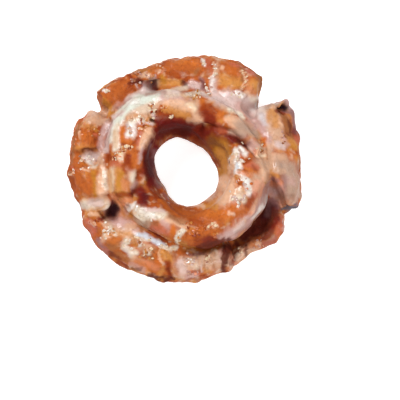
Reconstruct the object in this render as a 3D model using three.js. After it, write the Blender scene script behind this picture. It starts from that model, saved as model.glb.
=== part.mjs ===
import * as THREE from "three";
import { mergeVertices } from "three/addons/utils/BufferGeometryUtils.js";

// A glazed sour cream doughnut of the old-fashioned kind, in millimetres.
// It is one piece of cake dough. In the fryer a round crown rises beside the hole, the dough cracks in
// a ring outside it, and what lies past the crack tears into petals that bend outwards.
// It lies on its flat underside, shown side up, with the middle of its outline over the origin.
// Angles are in degrees, counter-clockwise from +X as seen from above, about the hole's axis.

// ---- The crown and the hole: values at equal steps round the ring, starting at angle 0 ----

const HOLE_RADIUS = [12.2, 11.1, 11.4, 13.3, 15.3, 14.3, 12.1, 10.2, 11.6, 13.9, 13.2, 12.7]; // at its waist
const CREST_RADIUS = [22.4, 22.6, 22.8, 22.8, 24.2, 25.0, 24.8, 24.0, 23.2, 24.6, 24.8, 23.6]; // crown's top
const CREST_HEIGHT = [31.0, 29.8, 30.6, 30.2, 29.8, 31.0, 30.6, 29.2, 30.2, 31.0, 31.4, 31.6];
const CROWN_EDGE_RADIUS = [32.6, 31.0, 30.6, 31.0, 34.0, 34.6, 31.8, 30.4, 28.2, 29.9, 30.5, 31.7];
// How far the crown's edge leans over the crack, as a share of the full lip: a plain slope at 0.
const LIP_SHARE = [0.15, 0.0, 0.0, 0.0, 0.0, 0.0, 0.0, 0.2, 0.6, 0.9, 1.0, 1.0];
// How far the hole's wall is set back from the waist at its fold, and under the crown's top.
const CREASE_DEPTH = [0.6, 0.8, 1.6, 2.4, 2.4, 2.4, 2.2, 1.2, 0.6, 0.6, 0.6, 0.6];
const WALL_SLOPE = [4.6, 3.6, 2.6, 2.4, 2.2, 2.0, 2.2, 3.0, 4.0, 4.6, 5.0, 5.0];

const LIP_OVERHANG = 1.8; // crack floor's setback under a full lip
const LIP_HEIGHT = 4.4; // crown's edge above the crack floor under a full lip
const SLOPE_HEIGHT = 1.1; // and where the crown is a plain slope
const WAIST_HEIGHT = 10.5; // where the hole is narrowest, in the lower half of the dough
const CREASE_HEIGHT = 16.5; // fold in the hole's wall between the lower and the upper half

// ---- The petals, counter-clockwise, each from the tear before it to the tear after it ----
// Values at equal steps along the petal: reach is its outermost radius, edge that line's height and
// top the height of its back. brow is its height beside the crack, and crack that of the crack's floor.

const PETALS = [
  {
    reach: [46.6, 47.0, 46.2, 45.0, 44.2, 44.5, 46.9],
    edge: [19, 18, 16.5, 16, 16, 18.5, 21.5],
    top: [24.5, 24.5, 23.5, 23, 22.5, 24.5, 26.5],
    brow: 24,
    crack: 23.6,
  },
  {
    reach: [45.5, 47.2, 47.1, 46.4, 46.2],
    edge: [14, 14, 14.5, 16, 18],
    top: [20, 22, 23, 23.5, 23.5],
    brow: 21.6,
    crack: 21.2,
  },
  {
    reach: [46.8, 45.4, 44.6, 43.6],
    edge: [18, 15, 14, 14],
    top: [22, 22.5, 22, 21],
    brow: 22,
    crack: 21.7,
  },
  {
    reach: [45.2, 44.6, 46.0, 45.0, 44.7, 43.1, 43.4],
    edge: [16, 14, 13, 12.5, 12.5, 13, 13],
    top: [22.5, 22, 21.5, 21, 21, 20.5, 20],
    brow: 20.8,
    crack: 20.2,
  },
  {
    reach: [42.9, 42.3, 41.2, 40.5, 41.6],
    edge: [12, 11, 10, 10, 10],
    top: [18.5, 17.5, 17, 16.5, 16],
    brow: 18,
    crack: 15,
  },
  {
    reach: [39.6, 39.7, 43.3, 44.1, 43.7, 41.5],
    edge: [9, 9.5, 10.5, 11, 10.5, 9.5],
    top: [13, 12.5, 13, 14, 13.5, 12],
    brow: 10.5,
    crack: 9,
  },
  {
    reach: [45.1, 44.7, 44.2, 45.2, 45.9, 47.3, 47.5],
    edge: [16, 15.5, 15, 15.5, 16, 17.5, 19.5],
    top: [22, 22, 21.5, 21.5, 22, 23, 24],
    brow: 23.6,
    crack: 23.3,
  },
];

// The tears between them. TEARS[i] is the one before PETALS[i]: its angle, the degrees it takes to rise
// to the petal before it and to the petal after it, the outline's radius at its bottom, its floor's
// height, and the degrees it turns on its way outwards.
const TEARS = [
  { at: 42.6, before: 7.6, after: 9.2, reach: 37.0, floor: 18.5, turn: 0 },
  { at: 144.4, before: 4.6, after: 4.8, reach: 41.8, floor: 17, turn: 0 },
  { at: 171.5, before: 5.5, after: 7.0, reach: 46.2, floor: 19, turn: 2.5 },
  { at: 200.5, before: 5.0, after: 5.0, reach: 43.2, floor: 18.8, turn: 0 },
  { at: 263.0, before: 9.0, after: 9.0, reach: 42.8, floor: 18.2, turn: 0 },
  { at: 300.5, before: 3.8, after: 3.8, reach: 39.8, floor: 9.5, turn: -3.6 },
  { at: 351.5, before: 4.6, after: 4.6, reach: 40.2, floor: 11, turn: -14 },
];
const TURN_FROM = 32; // radius where a tear starts to turn
const TURN_FULL = 41.5; // and where it has turned as far as it does
const TURN_REACH = 30; // degrees round the ring over which its turn dies away
const CRACK_BLEND = 7; // degrees each side of a tear over which one crack floor passes into the next

// Dents in the crust: the angle and the distance from the axis of the middle of each, its half length
// outwards and its half width round the ring, and its depth. The first five are holes where steam broke
// out, and the last is a hollow between two lobes of the crown.
const DENTS = [
  { angle: 209.2, radius: 33.8, long: 2.6, wide: 2.9, depth: 5.0 },
  { angle: 33, radius: 43.4, long: 1.7, wide: 2.7, depth: 3.6 },
  { angle: 112, radius: 35.4, long: 2.4, wide: 2.4, depth: 3.5 },
  { angle: 19, radius: 42.6, long: 2.6, wide: 2.6, depth: 2.0 },
  { angle: 123, radius: 23.2, long: 1.8, wide: 1.8, depth: 2.0 },
  { angle: 208, radius: 21.0, long: 6.5, wide: 2.6, depth: 2.6 },
];

// Creases along the crown: half width, depth, and the angle and radius of points along each.
const CREASES = [
  { wide: 3.0, depth: 1.9, line: [[10, 28], [21, 24.5], [38, 20.5], [56, 17], [72, 15.6]] },
  { wide: 2.8, depth: 1.3, line: [[190, 18], [203, 20.5], [212, 25], [216, 28]] },
];

// Unevenness of the dough: the length of its waves and how far they stand in or out.
const LUMPS = { length: 15, height: 0.7 };
const CRAGS = { length: 8, height: 0.4 }; // on the torn petals only
const CRAGS_FROM = 30; // radius from which the dough is torn rather than smooth
const CRAGS_FULL = 35;

// ---- Faceting ----

const DEGREES_PER_STATION = 4.6;
const EXTRA_STATIONS = 4; // a petal, gathered towards its tears
// Sides between each corner of the cross-section and the next, in the order of section().
const SIDES = [2, 2, 2, 3, 3, 3, 2, 2, 4, 4, 4, 3, 2, 2, 2, 2, 5];

const radians = THREE.MathUtils.degToRad;
const { clamp, lerp, smoothstep, euclideanModulo: modulo } = THREE.MathUtils;

// Value of a smooth curve through four equally spaced values, between the middle two.
function between(a, b, c, d, t) {
  return b + 0.5 * t * (c - a + t * (2 * a - 5 * b + 4 * c - d + t * (3 * (b - c) + d - a)));
}

// Value round the ring, from values at equal steps.
function around(values, angle) {
  const n = values.length;
  const x = modulo(angle / (360 / n), n);
  const i = Math.floor(x);
  const at = (k) => values[(i + k + n) % n];
  return between(at(-1), at(0), at(1), at(2), x - i);
}

// Value along a petal, at a share u of its length.
function along(values, u) {
  const last = values.length - 1;
  const x = clamp(u, 0, 1) * last;
  const i = Math.min(Math.floor(x), last - 1);
  const at = (k) => values[clamp(i + k, 0, last)];
  return between(at(-1), at(0), at(1), at(2), x - i);
}

// The petal at an angle: its outline radius and heights.
function petalAt(angle) {
  const found = TEARS.findIndex((tear, k) => {
    const length = modulo(TEARS[(k + 1) % TEARS.length].at - tear.at, 360);
    return modulo(angle - tear.at, 360) < length;
  });
  const [first, next] = [TEARS[found], TEARS[(found + 1) % TEARS.length]];
  const length = modulo(next.at - first.at, 360);
  const past = modulo(angle - first.at, 360);
  const nearFirst = past < length / 2;
  const tear = nearFirst ? first : next;
  const away = nearFirst ? past : length - past;
  const whole = smoothstep(away, 0, nearFirst ? tear.after : tear.before);
  const u = (past - first.after) / (length - first.after - next.before);
  const petal = PETALS[found];
  const [top, edge] = [along(petal.top, u), along(petal.edge, u)];
  return {
    reach: lerp(tear.reach, along(petal.reach, u), whole),
    edge: lerp(Math.min(edge, tear.floor * 0.8), edge, whole),
    top: lerp(tear.floor, top, whole),
    brow: lerp(Math.min(tear.floor, petal.brow), petal.brow, whole),
    crack: petal.crack,
  };
}

// Degrees from one angle to another, between -180 and 180.
function turnBetween(from, to) {
  return modulo(to - from + 180, 360) - 180;
}

// The crack's floor, which passes smoothly from petal to petal under the tears.
function crackFloor(angle) {
  const found = TEARS.findIndex((tear) => Math.abs(turnBetween(tear.at, angle)) < CRACK_BLEND);
  if (found < 0) return petalAt(angle).crack;
  const before = PETALS[modulo(found - 1, PETALS.length)];
  const past = smoothstep(turnBetween(TEARS[found].at, angle), -CRACK_BLEND, CRACK_BLEND);
  return lerp(before.crack, PETALS[found].crack, past);
}

// Degrees by which a point of a station is turned on, because the tears lean.
function turnAt(angle, radius) {
  const lean = TEARS.reduce((sum, tear) => {
    const away = Math.abs(turnBetween(tear.at, angle));
    return sum + tear.turn * (1 - smoothstep(away, 0, TURN_REACH));
  }, 0);
  return lean * smoothstep(radius, TURN_FROM, TURN_FULL);
}

// Corners of the cross-section at a station, as [distance from the axis, height], from the underside's
// outer edge up the side, over the petal and the crown, and down through the hole.
function section(angle) {
  const hole = around(HOLE_RADIUS, angle);
  const crest = around(CREST_RADIUS, angle);
  const crestHeight = around(CREST_HEIGHT, angle);
  const crownEdge = around(CROWN_EDGE_RADIUS, angle);
  const lip = clamp(around(LIP_SHARE, angle), 0, 1);
  const floor = crackFloor(angle);
  const petal = petalAt(angle);
  const side = lerp(petal.reach, 44, 0.3); // the side is less torn than the petals' edge
  const browRadius = crownEdge + 2.4;
  const backRadius = lerp(browRadius, petal.reach, 0.5);
  const lipHeight = floor + lerp(SLOPE_HEIGHT, LIP_HEIGHT, lip);
  return [
    [side - 9, 0],
    [side - 3.6, 2.8],
    [side - 0.9, petal.edge * 0.58],
    [petal.reach, petal.edge],
    [lerp(backRadius, petal.reach, 0.66), lerp(petal.edge, petal.top, 0.7)],
    [backRadius, petal.top],
    [browRadius, petal.brow],
    [crownEdge + 0.3 - LIP_OVERHANG * lip, floor],
    [crownEdge - 0.6 * (1 - lip), lipHeight],
    [lerp(crest, crownEdge, 0.6), lerp(lipHeight, crestHeight, lerp(0.58, 0.76, lip))],
    [crest, crestHeight],
    [lerp(hole, crest, 0.48), crestHeight - 2.8],
    [hole + around(WALL_SLOPE, angle), crestHeight - 8.5],
    [hole + around(CREASE_DEPTH, angle), CREASE_HEIGHT],
    [hole, WAIST_HEIGHT],
    [hole + 2.6, 3.4],
    [hole + 8.5, 0],
  ];
}

// The closed outline through a section's corners, with a set number of sides to each corner.
function outline(angle) {
  const corners = section(angle).map(([r, z]) => new THREE.Vector3(r, 0, z));
  const curve = new THREE.CatmullRomCurve3(corners, true, "centripetal");
  return SIDES.flatMap((sides, i) =>
    Array.from({ length: sides }, (_, k) => curve.getPoint((i + k / sides) / SIDES.length)),
  );
}

// Angles of the cross-sections. They gather where the dough has torn.
function stations() {
  return TEARS.flatMap((tear, i) => {
    const length = modulo(TEARS[(i + 1) % TEARS.length].at - tear.at, 360);
    const count = Math.round(length / DEGREES_PER_STATION) + EXTRA_STATIONS;
    return Array.from({ length: count }, (_, k) => {
      const share = k / count;
      const gathered = (1 - Math.cos(Math.PI * share)) / 2;
      return tear.at + (length * (share + gathered)) / 2;
    });
  });
}

// Smooth unevenness between about -1 and 1, with waves of a given length.
function unevenness(point, length) {
  const [x, y, z] = point.toArray().map((v) => (v * 2 * Math.PI) / length);
  return (
    (Math.sin(x + 1.7 * Math.sin(0.61 * y + 0.83 * z)) +
      Math.sin(1.13 * y + 1.9 * Math.sin(0.57 * z + 0.71 * x) + 2) +
      Math.sin(0.93 * z + 1.8 * Math.sin(0.67 * x + 0.59 * y) + 4)) /
    3
  );
}

// A point of the plan, from its angle and its distance from the axis.
function inPlan([angle, radius]) {
  return new THREE.Vector3(radius * Math.cos(radians(angle)), radius * Math.sin(radians(angle)), 0);
}

// Distance in the plan from a point to a line through points given by angle and radius.
function awayFrom(line, point) {
  const here = new THREE.Vector3(point.x, point.y, 0);
  const stretches = line.slice(1).map((end, i) => new THREE.Line3(inPlan(line[i]), inPlan(end)));
  const nearest = stretches.map((s) => s.closestPointToPoint(here, true, new THREE.Vector3()));
  return Math.min(...nearest.map((p) => p.distanceTo(here)));
}

// How far the crust stands in or out at a point, along its normal: lumps, crags, dents and creases.
function relief(point, normal) {
  const radius = Math.hypot(point.x, point.y);
  const torn = smoothstep(radius, CRAGS_FROM, CRAGS_FULL) * smoothstep(point.z, 4, 10);
  let out = LUMPS.height * unevenness(point, LUMPS.length);
  out += CRAGS.height * torn * unevenness(point, CRAGS.length);
  for (const dent of DENTS) {
    const turn = Math.atan2(point.y, point.x) - radians(dent.angle);
    const outwards = (radius * Math.cos(turn) - dent.radius) / dent.long;
    const sideways = (radius * Math.sin(turn)) / dent.wide;
    if (normal.z > 0) out -= dent.depth * Math.exp(-outwards * outwards - sideways * sideways);
  }
  for (const crease of CREASES) {
    const away = awayFrom(crease.line, point) / crease.wide;
    if (normal.z > 0.1) out -= crease.depth * Math.exp(-away * away);
  }
  return out * smoothstep(point.z, 0, 3); // none on the flat underside
}

// The doughnut: its sections set round the hole's axis and skinned.
function doughnut() {
  const rings = stations().map((angle) =>
    outline(angle).map((p) => {
      const turned = radians(angle + turnAt(angle, p.x));
      return new THREE.Vector3(p.x * Math.cos(turned), p.x * Math.sin(turned), Math.max(p.z, 0));
    }),
  );
  const [count, size] = [rings.length, rings[0].length];
  const point = (i, k) => rings[(i + count) % count][(k + size) % size];
  const positions = rings.flatMap((ring, i) =>
    ring.flatMap((p, k) => {
      const roundTheHole = point(i + 1, k).clone().sub(point(i - 1, k));
      const overTheDough = point(i, k + 1).clone().sub(point(i, k - 1));
      const normal = roundTheHole.cross(overTheDough).normalize();
      const pushed = p.clone().addScaledVector(normal, relief(p, normal));
      return [pushed.x, pushed.y, Math.max(pushed.z, 0)];
    }),
  );
  const index = (i, k) => (i % count) * size + (k % size);
  const faces = [];
  for (let i = 0; i < count; i++) {
    for (let k = 0; k < size; k++) {
      faces.push(index(i, k), index(i + 1, k), index(i, k + 1));
      faces.push(index(i, k + 1), index(i + 1, k), index(i + 1, k + 1));
    }
  }
  const geometry = new THREE.BufferGeometry();
  geometry.setAttribute("position", new THREE.Float32BufferAttribute(positions, 3));
  geometry.setIndex(faces);
  geometry.computeBoundingBox();
  const middle = geometry.boundingBox.getCenter(new THREE.Vector3());
  geometry.translate(-middle.x, -middle.y, 0);
  const merged = mergeVertices(geometry, 1e-4);
  merged.computeVertexNormals();
  return merged;
}

const crust = new THREE.MeshStandardMaterial({ color: "#c07a45", roughness: 0.45, metalness: 0 });
const mesh = new THREE.Mesh(doughnut(), crust);
mesh.name = "doughnut";

const part = new THREE.Group();
part.add(mesh);

export default part;
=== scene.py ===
import math

import bpy
import numpy as np
from mathutils import Euler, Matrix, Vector, noise


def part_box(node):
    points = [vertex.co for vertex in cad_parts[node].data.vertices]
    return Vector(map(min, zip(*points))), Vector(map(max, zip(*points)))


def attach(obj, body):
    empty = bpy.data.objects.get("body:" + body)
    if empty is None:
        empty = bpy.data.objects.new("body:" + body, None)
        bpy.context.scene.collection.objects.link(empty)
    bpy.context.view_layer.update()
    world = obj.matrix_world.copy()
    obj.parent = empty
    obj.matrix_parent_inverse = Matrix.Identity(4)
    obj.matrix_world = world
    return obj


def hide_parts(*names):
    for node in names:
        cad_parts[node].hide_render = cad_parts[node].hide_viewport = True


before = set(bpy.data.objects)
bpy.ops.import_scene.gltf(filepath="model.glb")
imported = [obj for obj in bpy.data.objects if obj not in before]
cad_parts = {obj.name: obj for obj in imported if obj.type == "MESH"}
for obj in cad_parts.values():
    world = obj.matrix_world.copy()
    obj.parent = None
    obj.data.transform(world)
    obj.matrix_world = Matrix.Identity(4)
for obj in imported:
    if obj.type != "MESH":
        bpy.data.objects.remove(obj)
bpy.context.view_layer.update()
bpy.ops.object.select_all(action="DESELECT")

# ---- The dough -------------------------------------------------------------------------------------
# One ring of sour cream cake dough. In the fryer a round crown rises beside the hole, the dough cracks
# in a ring outside the crown, and what lies past the crack tears into petals that bend outwards.
# Sizes are in millimetres and degrees, counter-clockwise from +X, about the hole's axis.

MM = 0.001

# Round the ring, at equal steps from angle 0. LIP_SHARE is how far the crown's edge leans over the
# crack: a plain slope at 0, a full lip at 1.
HOLE_RADIUS = [12.2, 11.1, 11.4, 13.3, 15.3, 14.3, 12.1, 10.2, 11.6, 13.9, 13.2, 12.7]
CREST_RADIUS = [22.4, 22.6, 22.8, 22.8, 24.2, 25.0, 24.8, 24.0, 23.2, 24.6, 24.8, 23.6]
CREST_HEIGHT = [31.0, 29.8, 30.6, 30.2, 29.8, 31.0, 30.6, 29.2, 30.2, 31.0, 31.4, 31.6]
CROWN_EDGE_RADIUS = [32.6, 31.0, 30.6, 31.6, 36.0, 35.8, 32.2, 30.4, 28.5, 30.5, 31.8, 32.7]
LIP_SHARE = [0.15, 0.0, 0.0, 0.0, 0.0, 0.0, 0.0, 0.2, 0.6, 0.9, 1.0, 1.0]
# Setback from the waist of the hole's wall, at its fold and at its top.
FOLD_DEPTH = [0.6, 0.8, 1.6, 2.4, 2.4, 2.4, 2.2, 1.2, 0.6, 0.6, 0.6, 0.6]
WALL_SLOPE = [4.6, 3.6, 2.6, 2.4, 2.2, 2.0, 2.2, 3.0, 4.0, 4.6, 5.0, 5.0]
# Inner shoulder of the crown: its place between the hole and the crest, and how far it lies below
# the crest.
SHOULDER_SHARE = [0.48, 0.48, 0.48, 0.46, 0.38, 0.3, 0.34, 0.44, 0.48, 0.48, 0.48, 0.48]
SHOULDER_DROP = [2.8, 2.8, 2.8, 2.6, 1.8, 1.2, 1.6, 2.4, 2.8, 2.8, 2.8, 2.8]

LIP_OVERHANG = 1.8  # crack floor's setback under a full lip
LIP_HEIGHT = 4.4  # crown's edge above the crack floor under a full lip
SLOPE_HEIGHT = 1.1  # and where the crown is a plain slope
SLOPE_SETBACK = 2.6  # crown's edge from the crack, where it is a plain slope
BROW_SETBACK = 2.4  # petal's upper edge beside the crack, from the crown's edge
SIDE_RADIUS = 44.0  # mean radius of the side
SIDE_ROUNDNESS = 0.3  # how far the side is drawn to that radius, being less torn than the petals
WALL_TOP_DROP = 8.5  # top of the hole's wall below the crest
FOLD_HEIGHT = 16.5  # fold in the hole's wall between the lower and the upper half
WAIST_HEIGHT = 10.5  # where the hole is narrowest

# The petals: outermost radius, that line's height and the back's height at equal steps along each,
# then the height beside the crack and of the crack's floor.
PETALS = [
    ([46.6, 47.0, 46.2, 45.0, 44.2, 44.5, 46.9], [19, 18, 16.5, 16, 16, 18.5, 21.5],
     [24.5, 24.5, 23.5, 23, 22.5, 24.5, 26.5], 24.0, 23.6),
    ([45.5, 47.2, 47.1, 46.4, 46.2], [14, 14, 14.5, 16, 18], [20, 22, 23, 23.5, 23.5], 21.6, 21.2),
    ([46.8, 45.4, 44.6, 43.6], [18, 15, 14, 14], [22, 22.5, 22, 21], 22.0, 21.7),
    ([45.2, 44.6, 46.0, 45.0, 44.7, 43.1, 43.4], [16, 14, 13, 12.5, 12.5, 13, 13],
     [22.5, 22, 21.5, 21, 21, 20.5, 20], 20.8, 20.2),
    ([42.9, 42.3, 41.2, 40.5, 41.6], [12, 11, 10, 10, 10], [18.5, 17.5, 17, 16.5, 16], 18.0, 15.0),
    ([39.6, 39.7, 43.3, 44.1, 43.7, 41.5], [9, 9.5, 10.5, 11, 10.5, 9.5],
     [13, 12.5, 13, 14, 13.5, 12], 10.5, 9.0),
    ([45.1, 44.7, 44.2, 45.2, 45.9, 47.3, 47.5], [16, 15.5, 15, 15.5, 16, 17.5, 19.5],
     [22, 22, 21.5, 21.5, 22, 23, 24], 23.6, 23.3),
]
# The tears between them: angle, degrees it takes to rise to the petal before and after, the outline's
# radius and the floor's height at its bottom, and degrees that it turns on its way outwards.
TEARS = [
    (42.6, 7.6, 9.2, 37.0, 18.5, 0.0),
    (144.4, 4.6, 4.8, 41.8, 17.0, 0.0),
    (171.5, 5.5, 7.0, 46.2, 19.0, 2.5),
    (200.5, 5.0, 5.0, 43.2, 18.8, 0.0),
    (263.0, 9.0, 9.0, 42.8, 18.2, 0.0),
    (300.5, 3.8, 3.8, 39.8, 9.5, -3.6),
    (351.5, 4.6, 4.6, 40.2, 11.0, -14.0),
]
LEAN_FROM = 32.0  # radius where a tear is at its stated angle
LEAN_FULL = 41.5  # radius where it has turned as far as it does
LEAN_REACH = 30.0  # degrees over which a tear's lean dies away
EDGE_IN_TEAR = 0.8  # greatest height of a petal's edge in a tear, as a share of the tear's floor
CRACK_STEP = 7  # degrees either side of a tear within which the crack's floor changes

DEGREES_PER_STATION = 0.92  # a station is one cross-section of the dough
EXTRA_STATIONS = 12  # for each petal, gathered towards its tears
# Faces between each corner of the cross-section and the next.
SIDES = [8, 12, 13, 11, 11, 13, 10, 11, 18, 12, 15, 14, 12, 12, 12, 8, 7]


def smooth(x, low, high):
    """0 below low and 1 above high, with a soft rise between them."""
    t = np.clip((x - low) / (high - low), 0, 1)
    return t * t * (3 - 2 * t)


def mix(a, b, t):
    """From a at 0 to b at 1."""
    return a + (b - a) * t


def curve_between(a, b, c, d, t):
    """From b at 0 to c at 1, on a smooth curve through all four."""
    return b + 0.5 * t * (c - a + t * (2 * a - 5 * b + 4 * c - d + t * (3 * (b - c) + d - a)))


def round_the_ring(values, angle):
    """Value at an angle, from values at equal steps round the ring."""
    n = len(values)
    x = (angle / (360 / n)) % n
    i = int(x)
    return curve_between(values[i - 1], values[i], values[(i + 1) % n], values[(i + 2) % n], x - i)


def along_petal(values, share):
    """Value at a share of a petal's length, from values at equal steps."""
    last = len(values) - 1
    x = min(max(share, 0), 1) * last
    i = min(int(x), last - 1)
    a, b, c, d = (values[min(max(i + k, 0), last)] for k in (-1, 0, 1, 2))
    return curve_between(a, b, c, d, x - i)


def petal_at(angle):
    """Outline radius, edge height, back height, height beside the crack, and the crack's floor."""
    for k, (at, _, after, *_) in enumerate(TEARS):
        length = (TEARS[(k + 1) % len(TEARS)][0] - at) % 360
        past = (angle - at) % 360
        if past < length:
            break
    following = TEARS[(k + 1) % len(TEARS)]
    before = following[1]
    near_first = past < length / 2
    tear = TEARS[k] if near_first else following
    whole = smooth(past, 0, after) if near_first else smooth(length - past, 0, before)
    share = (past - after) / (length - after - before)
    reach, edge, top, brow, crack = PETALS[k]
    reach, edge, top = (along_petal(v, share) for v in (reach, edge, top))
    tear_reach, floor = tear[3], tear[4]
    return (mix(tear_reach, reach, whole), mix(min(edge, floor * EDGE_IN_TEAR), edge, whole),
            mix(floor, top, whole), mix(min(floor, brow), brow, whole), crack)


def crack_floor(angle):
    """Height of the ring crack's floor, which passes from petal to petal under the tears."""
    for k, tear in enumerate(TEARS):
        past = (angle - tear[0] + 180) % 360 - 180
        if abs(past) < CRACK_STEP:
            return mix(PETALS[k - 1][4], PETALS[k][4], smooth(past, -CRACK_STEP, CRACK_STEP))
    return petal_at(angle)[4]


def turn_at(angle, radius):
    """Degrees by which a point of a station is turned on, because the tears lean."""
    lean = 0.0
    for tear in TEARS:
        away = abs((angle - tear[0] + 180) % 360 - 180)
        lean += tear[5] * (1 - smooth(away, 0, LEAN_REACH))
    return lean * smooth(radius, LEAN_FROM, LEAN_FULL)


def cross_section(angle):
    """Corners, as distance from the axis and height, from the underside up over petal and crown."""
    hole = round_the_ring(HOLE_RADIUS, angle)
    crest = round_the_ring(CREST_RADIUS, angle)
    crest_height = round_the_ring(CREST_HEIGHT, angle)
    crown_edge = round_the_ring(CROWN_EDGE_RADIUS, angle)
    lip = min(max(round_the_ring(LIP_SHARE, angle), 0), 1)
    floor = crack_floor(angle)
    reach, edge, top, brow, _ = petal_at(angle)
    side = mix(reach, SIDE_RADIUS, SIDE_ROUNDNESS)
    brow_radius = crown_edge + BROW_SETBACK
    back = mix(brow_radius, reach, 0.5)
    lip_height = floor + mix(SLOPE_HEIGHT, LIP_HEIGHT, lip)
    slope_height = mix(lip_height, crest_height, mix(0.58, 0.76, lip))
    fold = round_the_ring(FOLD_DEPTH, angle)
    slope = round_the_ring(WALL_SLOPE, angle)
    shoulder = round_the_ring(SHOULDER_SHARE, angle)
    drop = round_the_ring(SHOULDER_DROP, angle)
    return np.array([
        (side - 9, 0),  # underside's outer edge
        (side - 3.6, 2.8),  # foot of the side
        (side - 0.9, edge * 0.58),  # side
        (reach, edge),  # petal's edge
        (mix(back, reach, 0.66), mix(edge, top, 0.7)),
        (back, top),  # petal's back
        (brow_radius, brow),  # petal beside the crack
        (crown_edge + 0.3 - LIP_OVERHANG * lip, floor),  # floor of the crack
        (crown_edge - SLOPE_SETBACK * (1 - lip), lip_height),  # crown's edge
        (mix(crest, crown_edge, 0.6), slope_height),
        (crest, crest_height),  # crown's crest
        (mix(hole, crest, shoulder), crest_height - drop),  # its shoulder
        (hole + slope, crest_height - WALL_TOP_DROP),  # top of the hole's wall
        (hole + fold, FOLD_HEIGHT),  # fold in it
        (hole, WAIST_HEIGHT),  # waist of the hole
        (hole + 2.6, 3.4),  # foot of the wall
        (hole + 8.5, 0),  # underside's inner edge
    ])


def smooth_outline(corners):
    """Closed smooth curve through the corners, with the faces of SIDES between them."""
    n = len(corners)
    stretches = []
    for i in range(n):
        p0, p1, p2, p3 = (corners[(i + k) % n] for k in (-1, 0, 1, 2))
        d0, d1, d2 = (math.dist(a, b) ** 0.5 for a, b in ((p0, p1), (p1, p2), (p2, p3)))
        leave = ((p1 - p0) / d0 - (p2 - p0) / (d0 + d1) + (p2 - p1) / d1) * d1
        arrive = ((p2 - p1) / d1 - (p3 - p1) / (d1 + d2) + (p3 - p2) / d2) * d1
        t = (np.arange(SIDES[i]) / SIDES[i])[:, None]
        bend = -3 * p1 + 3 * p2 - 2 * leave - arrive
        stretches.append(p1 + leave * t + bend * t**2 + (2 * p1 - 2 * p2 + leave + arrive) * t**3)
    return np.vstack(stretches)


station_angles = []
for k, tear in enumerate(TEARS):
    length = (TEARS[(k + 1) % len(TEARS)][0] - tear[0]) % 360
    count = round(length / DEGREES_PER_STATION) + EXTRA_STATIONS
    share = np.arange(count) / count
    gathered = (1 - np.cos(np.pi * share)) / 2
    station_angles += list(tear[0] + length * (share + gathered) / 2)

rings = []
for angle in station_angles:
    outline = smooth_outline(cross_section(angle))
    turned = np.radians(angle + turn_at(angle, outline[:, 0]))
    rings.append(np.stack([outline[:, 0] * np.cos(turned), outline[:, 0] * np.sin(turned),
                           np.maximum(outline[:, 1], 0)], axis=1))
form = np.array(rings)  # station, place on the cross-section, x y z


def outward(points):
    """Normals of a grid of points that closes both ways."""
    round_ring = np.roll(points, -1, 0) - np.roll(points, 1, 0)
    over_dough = np.roll(points, -1, 1) - np.roll(points, 1, 1)
    n = np.cross(round_ring, over_dough)
    return n / (np.linalg.norm(n, axis=2, keepdims=True) + 1e-9)


def waves(points, length):
    """Smooth unevenness between about -1 and 1."""
    x, y, z = (points[..., i] * 2 * np.pi / length for i in range(3))
    return (np.sin(x + 1.7 * np.sin(0.61 * y + 0.83 * z))
            + np.sin(1.13 * y + 1.9 * np.sin(0.57 * z + 0.71 * x) + 2)
            + np.sin(0.93 * z + 1.8 * np.sin(0.67 * x + 0.59 * y) + 4)) / 3


# Dents: angle and radius of the middle, half length outwards, half width round the ring, and depth.
# The first five are holes where steam broke out, and the last is a hollow across the crown.
DENTS = [
    (209.8, 34.3, 2.9, 2.9, 6.0),
    (33, 43.4, 1.7, 2.7, 3.6),
    (112, 35.4, 2.4, 2.4, 3.5),
    (19, 42.6, 2.6, 2.6, 2.0),
    (123, 23.2, 1.8, 1.8, 2.0),
    (208, 21.0, 6.5, 2.6, 2.6),
]
GRAIN_SOFTNESS = 0.9  # how much weaker each finer octave of noise is
GRAIN_STEP = 2.1  # how much finer it is
LUMP_WARP = 0.25  # how far lumps are pushed out of shape, in sizes of a lump
LUMP_CREASE = 0.5  # width of the creases between them, in sizes of a lump


def grain(points, size, seed, octaves=1):
    """Noise of about -1 to 1 at each point of the grid, with grains of a given size."""
    scaled = (points / size + seed).reshape(-1, 3).tolist()
    if octaves == 1:
        values = [noise.noise(p) for p in scaled]
    else:
        values = [noise.fractal(p, GRAIN_SOFTNESS, GRAIN_STEP, octaves) for p in scaled]
    return np.array(values).reshape(points.shape[:-1])


def lumps(points, size, seed):
    """Rounded lumps with creases between them: 1 on top of a lump, about 0 in a crease."""
    push = np.stack([grain(points, size, seed + k) for k in (1, 2, 3)], -1)
    warped = points + LUMP_WARP * size * push
    scaled = (warped / size + seed).reshape(-1, 3).tolist()
    nearest = np.array([noise.voronoi(p)[0][:2] for p in scaled]).reshape(points.shape[:-1] + (2,))
    return smooth(nearest[..., 1] - nearest[..., 0], 0, LUMP_CREASE)


# Creases between the lobes of the crown: half width, depth, and the angle and radius of points along
# each.
CREASES = [
    (1.5, 2.6, [(10, 28), (21, 24.5), (38, 20.5), (56, 17), (72, 15.6)]),
    (1.2, 1.6, [(190, 18), (203, 20.5), (212, 25), (216, 28)]),
]


def away_from(line, angle, radius):
    """Distance in the plan from a line of (angle, radius) points."""
    here = np.stack([radius * np.cos(np.radians(angle)), radius * np.sin(np.radians(angle))], -1)
    corners = [np.array([r * np.cos(np.radians(a)), r * np.sin(np.radians(a))]) for a, r in line]
    nearest = np.full(radius.shape, 1e9)
    for start, end in zip(corners, corners[1:]):
        along = end - start
        t = np.clip((here - start) @ along / (along @ along), 0, 1)
        nearest = np.minimum(nearest, np.linalg.norm(here - start - t[..., None] * along, axis=-1))
    return nearest


normal = outward(form)
radius = np.hypot(form[..., 0], form[..., 1])
angle = np.degrees(np.arctan2(form[..., 1], form[..., 0]))
height = form[..., 2]

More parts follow.
